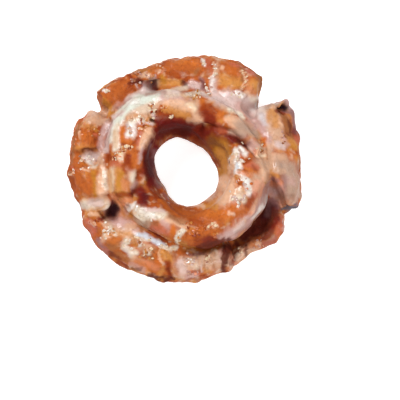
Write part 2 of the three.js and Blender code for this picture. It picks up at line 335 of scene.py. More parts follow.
# Tones of the crust with the glaze over it, in open light: red, green, blue, and how thick the glaze
# is, from 0 to 1. The darkest tones mostly stand for painted shade in holes, cracks and shadowed
# places, the bluish-white one for a painted reflection, and the palest serve both as white glaze and
# as painted highlights and glints.
TONES = {
    "crust": (190, 98, 46, 0.15),
    "orange": (205, 108, 45, 0.2),
    "gold": (212, 140, 72, 0.3),
    "ochre": (196, 128, 50, 0.2),
    "brown": (165, 102, 62, 0.15),
    "rust": (152, 64, 28, 0.1),
    "terracotta": (198, 102, 74, 0.3),
    "maroon": (122, 38, 28, 0.05),
    # The next three are painted shade: in cracks, in shadowed places and in holes.
    "umber_shade": (95, 38, 28, 0.0),
    "plum_shade": (78, 30, 38, 0.05),
    "hole_shade": (36, 14, 20, 0.0),
    "russet": (170, 96, 82, 0.1),
    "apricot": (218, 135, 95, 0.35),
    "fawn": (195, 138, 112, 0.45),
    "salmon": (250, 172, 138, 0.5),
    "peach": (238, 184, 148, 0.7),
    "tan": (215, 166, 134, 0.6),
    "sand": (190, 154, 132, 0.6),
    "blush": (204, 158, 148, 0.6),
    "mauve": (150, 105, 104, 0.3),
    # Painted shade with a bluish tinge.
    "slate_shade": (95, 100, 112, 0.2),
    "rose": (222, 192, 184, 0.85),
    "cream": (236, 216, 192, 1.0),
    "butter": (252, 228, 192, 0.9),
    "milk": (248, 238, 228, 1.0),
    # A painted bluish reflection of the light on the glaze.
    "bluish_reflection": (212, 214, 222, 0.9),
    # White glaze with a painted reflection of the window light on it.
    "frost_and_reflection": (228, 230, 214, 1.0),
    "bronze": (158, 92, 40, 0.15),
    # Painted shade of the hole's wall.
    "wine_shade": (112, 30, 28, 0.05),
    "clay": (184, 119, 86, 0.25),
    "garnet": (136, 36, 20, 0.1),
    "dusk": (176, 138, 124, 0.45),
    "amber": (190, 108, 44, 0.2),
    # Painted shade.
    "cocoa_shade": (126, 60, 46, 0.05),
}
OPEN_LIGHT = 1.25  # light on an open, level place

# Patches and streaks, one over another: tone, strength, half width, and angle and radius of points
# along each. "petals" are cut off at the ring crack, "crown" and "wall" start at it, and "ring" goes
# over it and over all the others. Besides the crust's and the glaze's own tones, many of them are
# painted shade in cracks, holes and shadowed places, and painted highlights and glints on the glaze.
STROKES = {
    "petals": [
        # Top petal, left tip, with a painted shadow line along its rim and a painted glint.
        ("crust", 1, 3.5, [(140, 41.5), (132, 39.5), (124, 38)]),
        ("rust", 0.5, 1.5, [(134, 35.5), (126, 38.5)]),
        ("maroon", 0.6, 0.5, [(140, 45), (134, 44.5), (130, 44)]),
        ("rust", 0.5, 0.5, [(130, 44), (125, 43.5), (122, 42)]),
        ("milk", 0.9, 0.7, [(137, 44), (136, 42.5)]),
        ("ochre", 0.7, 1.5, [(141, 40.5), (143, 36)]),
        ("gold", 0.7, 0.8, [(144, 39), (145, 36.5)]),
        ("blush", 0.5, 0.9, [(141, 36.5), (136, 36), (131, 34.5)]),
        # Its spotted middle, with painted shade in its cracks and pits.
        ("brown", 0.7, 1.5, [(119, 43.5), (112, 42), (105, 41)]),
        ("orange", 0.6, 1.2, [(110, 41), (104, 40)]),
        ("tan", 0.7, 1, [(117, 40), (112, 39.5)]),
        ("maroon", 0.8, 0.9, [(122, 41.5), (121, 40)]),
        ("umber_shade", 0.95, 1.1, [(124, 39), (119, 39), (117, 37.5)]),
        ("hole_shade", 0.8, 0.6, [(118, 38), (117, 37.5)]),
        ("rose", 0.8, 0.4, [(121, 38), (121, 37)]),
        ("rust", 0.7, 1.2, [(124, 38), (125, 34)]),
        ("blush", 0.9, 0.8, [(109, 38), (110, 37.5)]),
        ("sand", 0.85, 1.3, [(112, 37.5), (108, 35)]),
        ("mauve", 0.8, 1.5, [(117, 36), (112, 35.5)]),
        ("slate_shade", 0.5, 0.8, [(117, 35.5), (116, 34)]),
        ("mauve", 0.7, 0.9, [(121, 36), (115, 34), (107, 32.5)]),
        ("umber_shade", 0.95, 1.1, [(112, 35.5), (110, 33.5)]),
        ("peach", 0.7, 0.5, [(103, 39), (104, 37.5)]),
        ("rust", 0.8, 0.9, [(103, 41.5), (100, 41)]),
        # Its rim, with a thin painted shadow line along its outer edge.
        ("crust", 1, 3.1, [(99, 39.5), (91, 40), (83, 40)]),
        ("orange", 0.8, 1.2, [(95, 42.5), (86, 41.5)]),
        ("rust", 0.5, 1.4, [(100, 37.5), (92, 37), (83, 37.5)]),
        ("brown", 0.7, 1, [(85, 36.5), (84, 39)]),
        ("mauve", 0.4, 0.5, [(97, 44.5), (92, 44.5)]),
        ("gold", 0.9, 1.7, [(106, 34.5), (100, 33.5), (95, 33)]),
        ("ochre", 0.9, 1, [(105, 36.5), (105, 33.5)]),
        ("rust", 0.6, 0.5, [(103, 36), (93, 35.5), (83, 35.5)]),
        # Hollows with glaze behind the rim, painted dark in their depths as shade, and a painted glint on
        # the rim.
        ("blush", 1, 1.9, [(90, 31.5), (82, 31.5)]),
        ("rose", 0.6, 1.3, [(87, 33), (82, 31)]),
        ("mauve", 0.85, 1.2, [(81, 35), (78, 30.5)]),
        ("umber_shade", 0.9, 0.9, [(93, 33.5), (91, 32)]),
        ("umber_shade", 0.7, 0.6, [(82, 34.5), (80, 33.5)]),
        ("umber_shade", 0.6, 0.6, [(79, 33), (78, 32.5)]),
        ("terracotta", 0.7, 1.4, [(80, 43.5), (77, 39), (75, 37)]),
        ("milk", 0.9, 0.6, [(82, 43.5), (81, 41)]),
        ("brown", 0.6, 0.8, [(78, 39), (78, 36.5)]),
        # Right part of the rim, with painted glints in peach and milk.
        ("peach", 0.9, 0.5, [(76, 42.5), (74, 40), (75, 37.5), (76, 36)]),
        ("milk", 0.85, 0.6, [(75, 36.5), (74, 38)]),
        ("rose", 0.95, 1.4, [(74, 35.5), (71, 31)]),
        ("milk", 0.6, 0.7, [(74, 35.5), (73, 31.5)]),
        ("tan", 0.7, 1, [(74, 44.5), (73, 39), (70, 35.5)]),
        ("crust", 1, 2.7, [(70, 42.5), (65, 42), (60, 41)]),
        ("gold", 0.6, 1.9, [(69, 38), (63, 38.5), (59, 39.5)]),
        ("orange", 0.6, 1.2, [(68, 41), (64, 41.5)]),
        ("gold", 0.95, 1.8, [(68, 36), (63, 36.5), (58, 38)]),
        ("peach", 0.9, 0.7, [(71, 42), (71, 41)]),
        ("terracotta", 0.8, 0.8, [(67, 44), (63, 44.5), (59, 45)]),
        ("brown", 0.9, 1.4, [(61, 44), (57, 40.5)]),
        ("peach", 0.9, 0.4, [(61, 43), (59, 42.5), (56, 41), (56, 38.5), (56, 37)]),
        ("peach", 0.7, 0.4, [(60, 45.5), (57, 43)]),
        ("brown", 0.6, 0.9, [(58, 46.5), (55, 46.5)]),
        ("terracotta", 1, 1.3, [(58, 44.5), (54, 45)]),
        ("bronze", 0.9, 1, [(53, 45), (50, 45.5)]),
        ("gold", 1, 2.7, [(51, 41), (48, 39)]),
        ("bronze", 0.9, 1.2, [(54, 46.5), (50, 45.5), (48, 43.5)]),
        ("gold", 0.8, 1, [(48, 42), (46, 40.5)]),
        ("peach", 0.8, 1.3, [(52, 37), (48, 36.5)]),
        ("apricot", 0.7, 1.5, [(51, 39), (47, 38.5)]),
        ("brown", 0.5, 0.8, [(51, 43.5), (48, 42.5)]),
        ("tan", 0.9, 1.5, [(47, 35.5), (45, 37.5)]),
        # Pale glaze that runs from the top petal down to the right one, with painted highlights in milk
        # and a painted bluish reflection.
        ("rose", 1, 2.7, [(66, 30), (58, 32.5), (48, 34)]),
        ("rose", 1, 2.7, [(44, 34), (35, 33.5), (28, 34.5)]),
        ("rose", 1, 2.3, [(47, 33), (44, 38), (37, 37.5)]),
        ("milk", 0.7, 1.5, [(38, 36.5), (35, 38)]),
        ("cream", 0.7, 1.2, [(47, 36.5), (45, 39)]),
        ("milk", 0.8, 1.2, [(57, 34.5), (53, 35)]),
        ("milk", 0.5, 1.5, [(42, 34), (33, 33)]),
        ("bluish_reflection", 0.6, 1.2, [(35, 35.5), (30, 34)]),
        ("blush", 0.5, 0.9, [(63, 34.5), (60, 33)]),
        ("sand", 0.5, 1, [(55, 30), (48, 31.5)]),
        ("sand", 0.6, 1.2, [(26, 34), (13, 33)]),
        # Right petal, painted dark in its pit and along its shaded right edge and lower end.
        ("tan", 1, 3.5, [(34, 39.5), (25, 37.5), (18, 36)]),
        ("gold", 0.7, 1.2, [(35, 38.5), (31, 36.5)]),
        ("gold", 0.8, 1.5, [(33, 40), (26, 38)]),
        ("brown", 1, 1.7, [(29, 43), (24, 42), (19, 41.5)]),
        ("mauve", 0.8, 0.8, [(31, 44.5), (29, 46)]),
        ("sand", 1, 1.2, [(37, 38.5), (38, 43.5), (37, 46)]),
        ("blush", 0.9, 0.9, [(38, 44.5), (36, 46.5)]),
        ("blush", 1, 1.2, [(36, 46.5), (33, 47), (29, 47.5)]),
        ("hole_shade", 1, 1.6, [(33, 44.5), (33, 45), (32, 45.5)]),
        ("maroon", 0.8, 0.8, [(33, 41), (30, 44)]),
        ("brown", 1, 1.9, [(27, 43), (21, 42.5), (17, 42)]),
        ("mauve", 0.9, 1.2, [(29, 47), (23, 46), (20, 45.5)]),
        ("umber_shade", 0.7, 1, [(25, 43.5), (20, 43.5)]),
        ("maroon", 0.6, 1, [(19, 41.5), (16, 41.5)]),
        ("maroon", 0.6, 0.8, [(21, 45), (18, 45)]),
        ("peach", 0.8, 0.5, [(26, 39.5), (25, 40)]),
        ("tan", 0.9, 2.3, [(17, 33.5), (16, 35.5)]),
        ("rose", 0.9, 1.5, [(15, 36), (13, 38)]),
        ("blush", 0.9, 0.9, [(18, 38.5), (14, 40)]),
        ("terracotta", 0.9, 1.1, [(17, 45), (9, 44.5)]),
        ("brown", 0.8, 0.9, [(9, 44.5), (1, 43.5)]),
        ("gold", 0.85, 1.7, [(16, 41), (12, 43.5)]),
        ("ochre", 0.6, 1.2, [(12, 41), (12, 43.5)]),
        ("tan", 1, 2.3, [(8, 32), (6, 37)]),
        ("sand", 1, 3.5, [(0, 34.5), (0, 39.5), (-12, 41)]),
        ("tan", 0.8, 1.2, [(359, 31.5), (358, 37.5)]),
        ("blush", 0.6, 1.9, [(353, 39), (353, 42)]),
        ("sand", 0.7, 1.2, [(357, 42.5), (347, 44.5)]),
        ("brown", 0.8, 1, [(355, 33), (355, 35.5)]),
        ("maroon", 0.4, 1, [(352, 34), (351, 36.5)]),
        ("mauve", 0.5, 1.5, [(355, 37.5), (345, 38)]),
        ("sand", 0.6, 1.5, [(344, 39), (344, 43.5)]),
        ("umber_shade", 0.35, 1.5, [(344, 37.5), (345, 41)]),
        ("slate_shade", 0.9, 0.7, [(339, 39.5), (340, 42.5), (342, 45)]),
        # Left upper petal, with painted glints and a painted shadow along its lower end.
        ("crust", 1, 3.5, [(163, 43), (164, 40), (162, 37)]),
        ("tan", 1, 1.9, [(149, 43.5), (145, 39)]),
        ("tan", 0.95, 1.9, [(154, 42.5), (151, 39), (150, 36)]),
        ("blush", 0.95, 1.5, [(150, 35), (157, 34.5), (164, 34)]),
        ("gold", 0.6, 1.2, [(157, 44), (156, 39.5)]),
        ("brown", 0.9, 0.9, [(157, 45), (162, 45.5)]),
        ("rust", 0.6, 1.3, [(159, 38), (164, 36)]),
        ("ochre", 0.8, 0.6, [(156, 39), (157, 38)]),
        ("peach", 0.9, 0.7, [(161, 44), (164, 42.5)]),
        ("orange", 0.7, 1.5, [(163, 42), (159, 40)]),
        ("terracotta", 0.8, 0.6, [(160, 38), (160, 37)]),
        ("umber_shade", 0.8, 0.7, [(170, 41), (169, 37.5), (166, 35)]),
        ("maroon", 0.4, 0.9, [(172, 40), (169, 35)]),
        ("brown", 0.8, 0.9, [(165, 45.5), (171, 44.5), (177, 45)]),
        ("crust", 0.9, 1.5, [(172, 42.5), (178, 43)]),
        # Pale glaze in the tear below it, with painted glints.
        ("rose", 1, 1.7, [(173, 39), (172, 34.5)]),
        ("milk", 0.85, 1, [(173, 38.5), (176, 37)]),
        ("brown", 0.8, 0.4, [(175, 41), (176, 39.5)]),
        ("cream", 0.7, 1.2, [(178, 37), (178, 35)]),
        ("tan", 0.9, 1.7, [(173, 33.5), (178, 31.5)]),
        ("orange", 0.6, 0.9, [(178, 41.5), (178, 38)]),
        ("terracotta", 0.9, 0.7, [(179, 44), (181, 43)]),
        ("cream", 0.9, 0.7, [(182, 44.5), (184, 44)]),
        ("peach", 0.9, 0.5, [(181, 40), (181, 37.5)]),
        # Left middle petal.
        ("crust", 1, 3.5, [(185, 43), (189, 40), (192, 38.5)]),
        ("rust", 0.5, 1.2, [(184, 45.5), (189, 44.5)]),
        ("ochre", 0.9, 1.3, [(182, 36), (189, 35.5), (196, 36.5)]),
        ("gold", 0.7, 1.5, [(180, 33.5), (180, 30)]),
        ("peach", 1, 1.9, [(179, 31.5), (190, 33.5), (199, 34.5)]),
        ("cream", 0.6, 1.2, [(184, 31), (194, 32)]),
        ("peach", 0.95, 1.5, [(184, 28.5), (196, 30)]),
        ("brown", 0.5, 1, [(194, 42.5), (196, 38)]),
        # Pale glaze in the tear below it.
        ("cream", 1, 1.9, [(199, 41.5), (201, 38), (203, 34)]),
        ("rose", 0.8, 1.5, [(199, 39.5), (201, 36)]),
        ("sand", 0.5, 0.8, [(199, 42.5), (201, 41.5)]),
        ("ochre", 0.6, 0.8, [(203, 37.5), (203, 35)]),
        ("brown", 0.8, 0.7, [(205, 37.5), (208, 36.5)]),
        # Left lower petal: steam hole, painted dark inside as shade, and edge, with painted glints and
        # painted shade along the rim.
        ("tan", 1, 3.5, [(215, 36.5), (223, 34), (231, 32.5)]),
        ("crust", 1, 3.1, [(209, 43.5), (218, 43.5), (228, 43.5)]),
        ("mauve", 0.6, 3.3, [(208, 32), (210, 32)]),
        ("hole_shade", 1, 2.1, [(207, 31.5), (210, 32.5)]),
        ("terracotta", 1, 1.9, [(208, 43.5), (213, 43.5)]),
        ("peach", 0.5, 0.8, [(209, 42.5), (212, 42)]),
        ("maroon", 0.9, 0.9, [(210, 39), (211, 38.5), (210, 35.5)]),
        ("peach", 0.8, 1, [(205, 41), (207, 38.5)]),
        ("orange", 0.8, 0.8, [(213, 40.5), (217, 39.5)]),
        ("cream", 1, 0.9, [(218, 40), (220, 40.5)]),
        ("peach", 0.6, 1.5, [(220, 43), (221, 40)]),
        ("cream", 0.9, 0.8, [(218, 37), (220, 37), (223, 37.5)]),
        ("blush", 1, 2.3, [(216, 34), (223, 31)]),
        ("brown", 0.7, 1.5, [(217, 29.5), (224, 28)]),
        ("tan", 0.9, 1.8, [(225, 31.5), (229, 30.5)]),
        ("gold", 0.6, 1.2, [(224, 36), (229, 33.5)]),
        ("brown", 0.9, 2.3, [(226, 42), (227, 38.5)]),
        ("orange", 0.7, 1.4, [(224, 40), (227, 37)]),
        ("mauve", 0.8, 0.9, [(218, 44), (226, 44.5)]),
        ("terracotta", 0.6, 0.6, [(224, 44.5), (227, 44)]),
        ("umber_shade", 0.7, 0.9, [(228, 44), (233, 43)]),
        ("rust", 0.9, 1.1, [(233, 44.5), (238, 44.5)]),
        ("brown", 0.8, 1.2, [(231, 42), (238, 41.5)]),
        ("cream", 0.9, 1.3, [(230, 36), (232, 38.5), (237, 39), (239, 38)]),
        ("rose", 0.5, 1, [(230, 38), (236, 40)]),
        ("ochre", 0.5, 1.2, [(232, 33.5), (236, 35.5)]),
        ("tan", 0.9, 1.9, [(240, 34.5), (246, 34)]),
        ("brown", 0.4, 1, [(239, 34), (244, 37.5)]),
        ("milk", 0.9, 0.6, [(237, 33.5), (239, 34.5)]),
        ("cream", 1, 0.9, [(244, 36), (246, 36)]),
        ("brown", 0.8, 1.5, [(248, 33.5), (249, 37.5)]),
        ("orange", 0.7, 0.9, [(249, 34.5), (252, 37)]),
        ("peach", 0.9, 0.5, [(252, 34), (254, 37)]),
        ("gold", 1, 2.1, [(255, 33.5), (259, 35.5)]),
        ("peach", 0.6, 1.5, [(240, 40.5), (246, 40.5)]),
        ("apricot", 0.7, 1.5, [(247, 39.5), (253, 40)]),
        ("orange", 0.7, 1.2, [(242, 41), (248, 41)]),
        ("blush", 0.6, 0.8, [(239, 42.5), (247, 42)]),
        ("umber_shade", 0.6, 0.5, [(241, 43.5), (245, 42)]),
        ("rust", 1, 1.5, [(258, 37), (261, 41.5)]),
        ("umber_shade", 0.5, 0.9, [(260, 39), (261, 41)]),
        ("umber_shade", 0.9, 0.6, [(250, 42.5), (256, 43), (263, 42.5)]),
        # Pale glaze beside the crown with a painted bluish reflection on it, and painted shade in the
        # split.
        ("brown", 0.9, 1.2, [(230, 29), (239, 27.5)]),
        ("maroon", 0.9, 0.7, [(239, 27.5), (246, 27.5), (254, 28)]),
        ("bluish_reflection", 1, 1.1, [(234, 31.5), (240, 30.5), (246, 30.5), (253, 31)]),
        ("blush", 0.8, 0.9, [(230, 31.5), (231, 30.5)]),
        ("cream", 0.6, 0.7, [(237, 32.5), (243, 31)]),
        ("cream", 0.95, 0.9, [(253, 31.5), (257, 31.5), (262, 30.5)]),
        # Bottom petal, with painted shade in the crack at its right end and along the crown's edge.
        ("tan", 1, 3.5, [(267, 37), (277, 36), (288, 37)]),
        ("clay", 0.8, 1.2, [(262, 33), (265, 40)]),
        ("rose", 0.7, 1.9, [(266, 36), (268, 39.5)]),
        ("cream", 0.5, 1.5, [(273, 35), (276, 37.5)]),
        ("rose", 0.6, 0.4, [(280, 34), (278, 40)]),
        ("peach", 0.8, 0.5, [(285, 33.5), (283, 37.5)]),
        ("brown", 0.6, 0.4, [(282, 34.5), (280, 39.5)]),
        ("brown", 0.6, 0.4, [(286, 34), (286, 39.5)]),
        ("mauve", 0.5, 0.6, [(276, 33.5), (276, 36)]),
        ("rust", 0.5, 0.5, [(277, 36), (277, 40)]),
        ("cream", 0.6, 0.5, [(290, 33), (289, 36.5)]),
        ("mauve", 0.6, 0.8, [(272, 32.5), (283, 33)]),
        ("blush", 0.8, 0.8, [(270, 41), (275, 41)]),
        ("terracotta", 0.7, 0.8, [(273, 39.5), (276, 40.5)]),
        ("gold", 0.6, 0.8, [(280, 39.5), (283, 40)]),
        ("rust", 0.8, 0.6, [(277, 41.5), (282, 41.5)]),
        ("mauve", 0.5, 0.5, [(270, 42), (277, 42.5)]),
        ("umber_shade", 0.95, 1.3, [(296, 32.5), (293, 36.5), (292, 39)]),
        ("umber_shade", 0.95, 1.2, [(292, 38.5), (290, 41)]),
        ("fawn", 0.8, 0.9, [(297, 36.5), (297, 39.5)]),
        ("brown", 0.5, 1.2, [(282, 32), (288, 34)]),
        ("blush", 0.5, 0.9, [(292, 33.5), (289, 37.5)]),
        # Low right petal, in the shade of the crown, which is painted on it in the darkest tones, with a
        # few painted glints.
        ("tan", 1, 2.7, [(296, 39), (304, 38.5), (311, 39)]),
        ("clay", 0.8, 1.7, [(303, 37), (314, 38.5)]),
        ("terracotta", 0.5, 1.2, [(297, 37.5), (298, 40)]),
        ("umber_shade", 0.9, 1.2, [(305, 33), (304, 37)]),
        ("umber_shade", 0.7, 0.8, [(308, 36), (306, 39.5)]),
        ("maroon", 0.6, 0.8, [(301, 37), (296, 39.5)]),
        ("peach", 0.9, 0.7, [(305, 35.5), (304, 38.5)]),
        ("cream", 0.6, 0.5, [(302, 37.5), (299, 38.5)]),
        ("orange", 0.6, 1.2, [(311, 37.5), (317, 40)]),
        ("peach", 0.8, 0.6, [(314, 38.5), (315, 40)]),
        ("russet", 0.9, 1.2, [(316, 41), (323, 43)]),
        ("umber_shade", 1, 3.9, [(312, 33), (323, 34.5), (336, 35.5)]),
        ("umber_shade", 0.6, 1.9, [(327, 32.5), (337, 33)]),
        ("plum_shade", 0.7, 1.9, [(331, 34.5), (338, 35.5)]),
        ("blush", 1, 1.9, [(348, 33), (349, 35), (344, 36)]),
        ("fawn", 0.8, 1.2, [(345, 36.5), (341, 38)]),
        ("apricot", 0.8, 1.2, [(352, 32.5), (351, 36)]),
        ("mauve", 0.8, 1.5, [(342, 35), (339, 37.5)]),
        ("plum_shade", 0.7, 1.5, [(338, 37), (332, 39)]),
        ("umber_shade", 0.9, 1.9, [(318, 35), (325, 38)]),
        ("maroon", 0.9, 1.5, [(326, 39.5), (331, 39.5)]),
        ("cocoa_shade", 0.9, 1.5, [(318, 39), (324, 40.5)]),
        ("terracotta", 0.7, 1.2, [(326, 42), (331, 41)]),
        ("terracotta", 0.7, 0.9, [(334, 40), (330, 42.5), (325, 43)]),
        ("blush", 0.6, 0.6, [(333, 41.5), (328, 44)]),
    ],
    "crown": [
        # Top, cream to tan, with white glaze at its left that carries a painted reflection.
        ("tan", 1, 5, [(119, 27), (100, 23.5), (82, 21.5)]),
        ("frost_and_reflection", 1, 2.3, [(118, 31.5), (110, 29)]),
        ("blush", 0.9, 2.3, [(109, 28), (99, 26.5), (89, 27)]),
        ("cream", 0.8, 1.2, [(92, 27.5), (85, 28.5)]),
        ("cream", 0.6, 1.5, [(106, 28), (97, 27.5)]),
        ("rose", 0.6, 1, [(115, 33.5), (108, 30.5), (98, 28.5)]),
        ("peach", 0.8, 1.5, [(108, 25), (96, 24)]),
        ("butter", 0.6, 1.2, [(89, 23), (82, 21.5)]),
        ("gold", 0.5, 1.2, [(93, 27.5), (90, 26)]),
        ("cream", 0.8, 0.9, [(83, 29.5), (75, 29)]),
        ("ochre", 0.6, 0.5, [(89, 27), (82, 27)]),
        ("brown", 0.4, 0.4, [(86, 28.5), (82, 28.5)]),
        ("peach", 1, 2.3, [(91, 20.5), (82, 18.5), (74, 17.5)]),
        ("tan", 0.7, 0.9, [(76, 24.5), (69, 27)]),
        ("peach", 0.8, 0.8, [(78, 17.5), (70, 15)]),
        ("orange", 0.8, 1.2, [(114, 24.5), (110, 23)]),
        ("rust", 0.7, 1.2, [(117, 22.5), (109, 21.5)]),
        # Deep brown patch.
        ("orange", 1, 1.5, [(78, 26), (74, 23.5)]),
        ("rust", 1, 2.7, [(73, 22.5), (66, 20.5), (56, 17.5)]),
        ("maroon", 0.7, 1.9, [(64, 20), (53, 17)]),
        ("maroon", 0.6, 1.2, [(71, 21.5), (66, 18)]),
        ("rust", 0.8, 1.2, [(68, 24.5), (61, 22.5)]),
        ("gold", 0.8, 1, [(70, 27.5), (65, 26)]),
        ("mauve", 0.5, 0.6, [(68, 29), (64, 26.5)]),
        ("fawn", 0.9, 1.2, [(65, 26), (59, 26.5)]),
        ("orange", 1, 1.7, [(57, 23), (53, 24), (48, 23.5)]),
        ("bronze", 0.7, 1.2, [(52, 24.5), (46, 24)]),
        ("terracotta", 0.9, 1.7, [(51, 19), (42, 18.5)]),
        ("rust", 0.6, 1.2, [(51, 16.5), (40, 18.5)]),
        # Right upper, glaze over tan, with painted shade along the crease and the fold.
        ("tan", 0.9, 1.5, [(59, 26.5), (51, 27)]),
        ("cream", 1, 1.3, [(52, 27), (48, 29), (43, 29)]),
        ("peach", 1, 1.9, [(48, 24), (41, 26)]),
        ("tan", 0.9, 1.5, [(40, 24.5), (35, 26.5)]),
        ("peach", 0.7, 1, [(43, 22.5), (39, 23)]),
        ("sand", 1, 3.1, [(36, 26), (28, 29)]),
        ("dusk", 0.6, 1.5, [(38, 29), (31, 29.5)]),
        ("sand", 0.8, 1.5, [(38, 20.5), (30, 24.5)]),
        ("tan", 0.4, 1.5, [(39, 28), (34, 29)]),
        ("mauve", 0.4, 1.2, [(33, 20), (26, 25)]),
        ("mauve", 0.5, 0.6, [(49, 31), (41, 31.5), (32, 31), (27, 31.5)]),
        # Right, white cracked glaze with brown showing through, its brightest white patches painted
        # highlights on the glaze, with a painted bluish reflection.
        ("tan", 1, 2.7, [(16, 26.5), (11, 29.5)]),
        ("blush", 0.8, 1.5, [(20, 26), (12, 28.5)]),
        ("peach", 0.6, 0.9, [(13, 29.5), (9, 29.5)]),
        ("terracotta", 0.9, 1.1, [(20, 31), (17, 31)]),
        ("brown", 0.8, 0.6, [(16, 31.5), (12, 31)]),
        ("tan", 1, 3.9, [(1, 29), (-15, 27.5)]),
        ("orange", 0.9, 1.9, [(356, 22), (356, 26)]),
        ("terracotta", 0.8, 1.5, [(0, 23), (-1, 26.5)]),
        ("rust", 0.9, 0.9, [(2, 21.5), (5, 24)]),
        ("umber_shade", 0.4, 0.8, [(359, 25), (356, 26.5)]),
        ("rust", 0.7, 0.7, [(356, 21), (353, 22.5)]),
        ("milk", 1, 1.4, [(16, 19.5), (6, 18.5), (-7, 19.5)]),
        ("milk", 0.9, 1, [(6, 19.5), (-4, 20.5)]),
        ("milk", 1, 1.1, [(18, 21.5), (11, 22.5)]),
        ("terracotta", 0.7, 0.5, [(9, 19.5), (7, 21)]),
        ("bluish_reflection", 0.7, 0.8, [(2, 18.5), (-5, 20)]),
        ("milk", 0.9, 0.9, [(350, 20), (348, 22)]),
        ("cream", 1, 2.7, [(330, 21.5), (326, 24.5)]),
        ("milk", 1, 1.6, [(344, 23), (339, 25), (336, 26.5)]),
        ("orange", 0.8, 0.5, [(344, 19), (335, 20.5), (340, 21.5), (345, 20.5)]),
        ("rust", 0.8, 0.5, [(340, 20.5), (339, 21)]),
        ("peach", 0.8, 1.2, [(339, 18), (324, 21)]),
        ("rose", 0.9, 1.3, [(324, 22), (320, 24.5)]),
        ("tan", 0.7, 0.9, [(331, 21), (332, 24)]),
        ("salmon", 0.8, 1.7, [(346, 27), (337, 28)]),
        ("salmon", 0.7, 1.2, [(351, 29), (344, 30)]),
        ("peach", 0.9, 1.2, [(356, 29), (351, 30)]),
        ("ochre", 0.6, 0.5, [(349, 29.5), (350, 31.5)]),
        # Pale glazed edge over the low petal, with thin painted highlights along it.
        ("salmon", 0.8, 1.4, [(346, 31), (332, 31), (318, 30.4), (304, 29.6)]),
        ("rose", 0.7, 0.9, [(340, 31.6), (326, 31.4), (314, 30.6)]),
        ("terracotta", 0.7, 1.2, [(338, 28.6), (326, 27.8), (314, 27.2)]),
        ("blush", 0.9, 1.2, [(352, 32.4), (340, 31.8), (327, 31.6), (317, 31)]),
        ("milk", 0.8, 0.5, [(348, 32.4), (336, 32.2), (324, 31.8), (314, 31.2)]),
        ("rose", 1, 1, [(317, 30.6), (308, 30.4), (300, 30.2)]),
        ("blush", 1, 2.1, [(319, 31), (309, 30), (301, 30.5)]),
        ("peach", 0.7, 1.2, [(316, 30), (308, 29.5)]),
        ("rose", 0.7, 1.2, [(314, 30), (307, 30)]),
        ("peach", 0.6, 0.8, [(334, 29.5), (326, 29.5)]),
        # Lower right, orange-brown, with painted glints and painted shade along its lower edge.
        ("orange", 1, 3.1, [(274, 19), (291, 20.5), (304, 23.5), (319, 25.5)]),
        ("crust", 1, 1.9, [(300, 25), (288, 23), (275, 22)]),
        ("rust", 0.5, 1.5, [(272, 21.5), (283, 23)]),
        ("crust", 0.8, 1.7, [(316, 26.5), (322, 27.5)]),
        ("apricot", 0.8, 1, [(320, 25), (322, 26.5)]),
        ("rust", 0.8, 1.3, [(334, 27.5), (326, 27.5)]),
        ("gold", 0.5, 1.4, [(295, 16), (304, 19.5)]),
        ("rust", 0.6, 1.9, [(267, 19), (282, 21)]),
        ("peach", 0.7, 0.8, [(311, 24.5), (313, 26)]),
        ("peach", 0.95, 0.6, [(289, 25), (293, 26)]),
        ("peach", 0.95, 0.6, [(296, 24.5), (296, 26)]),
        ("crust", 1, 3.1, [(271, 28), (283, 28.5), (292, 29)]),
        ("rust", 0.8, 1.5, [(277, 29), (287, 29.5)]),
        ("maroon", 0.7, 1.4, [(284, 29.5), (293, 30)]),
        ("orange", 0.8, 0.5, [(272, 25), (281, 25.5)]),
        ("orange", 0.9, 0.7, [(291, 28), (292, 29)]),
        ("peach", 0.8, 0.5, [(270, 22.5), (271, 23.5)]),
        ("blush", 0.8, 1.2, [(295, 29.5), (299, 30)]),
        ("umber_shade", 0.9, 1, [(277, 30.5), (288, 31), (297, 31)]),
        ("gold", 0.9, 1.3, [(256, 29), (262, 29.4), (268, 29.6)]),
        # Lower left, cream patches with brown between.
        ("peach", 1, 2.3, [(252, 22.5), (265, 22.5)]),
        ("cream", 1, 1.9, [(222, 25), (231, 24), (238, 23), (244, 21.5)]),
        ("milk", 0.7, 1.3, [(226, 25), (237, 23.5)]),
        ("milk", 0.9, 0.9, [(216, 27.5), (217, 24.5)]),
        ("rose", 0.8, 1, [(228, 23), (242, 20)]),
        ("terracotta", 0.9, 1.9, [(240, 26), (247, 26), (255, 26)]),
        ("cream", 1, 1.7, [(227, 26.5), (235, 26)]),
        ("tan", 0.8, 0.9, [(224, 28), (229, 28)]),
        ("brown", 0.7, 1.2, [(235, 26.5), (243, 25)]),
        ("blush", 0.8, 1.2, [(247, 23.5), (256, 25)]),
        ("orange", 1, 1.5, [(258, 24.5), (259, 28)]),
        ("rust", 0.5, 0.8, [(261, 24), (270, 26.5)]),
        ("cream", 1, 1, [(267, 25), (263, 27), (262, 29.5)]),
        ("orange", 0.6, 0.9, [(256, 29), (261, 30)]),
        # Left lower, golden, with painted shade in the groove across the crown.
        ("gold", 1, 3.1, [(182, 26), (192, 26.5), (202, 27)]),
        ("tan", 0.7, 1.5, [(182, 28), (195, 29.5)]),
        ("butter", 0.8, 1.2, [(185, 28.5), (195, 30)]),
        ("rust", 0.9, 1.2, [(181, 24), (187, 23)]),
        ("garnet", 0.8, 1.3, [(179, 22.5), (184, 21.5)]),
        ("ochre", 0.9, 1.2, [(188, 25), (196, 26.5)]),
        ("apricot", 0.6, 1.2, [(194, 24.5), (202, 25.5)]),
        ("bronze", 0.5, 1.2, [(199, 30.5), (205, 26.5)]),
        ("rust", 0.8, 1.2, [(202, 29), (208, 25.5)]),
        ("tan", 1, 1.9, [(188, 21), (201, 21.5)]),
        ("cream", 0.8, 1.3, [(186, 20.5), (196, 21)]),
        ("rose", 0.6, 0.8, [(183, 22.5), (186, 21)]),
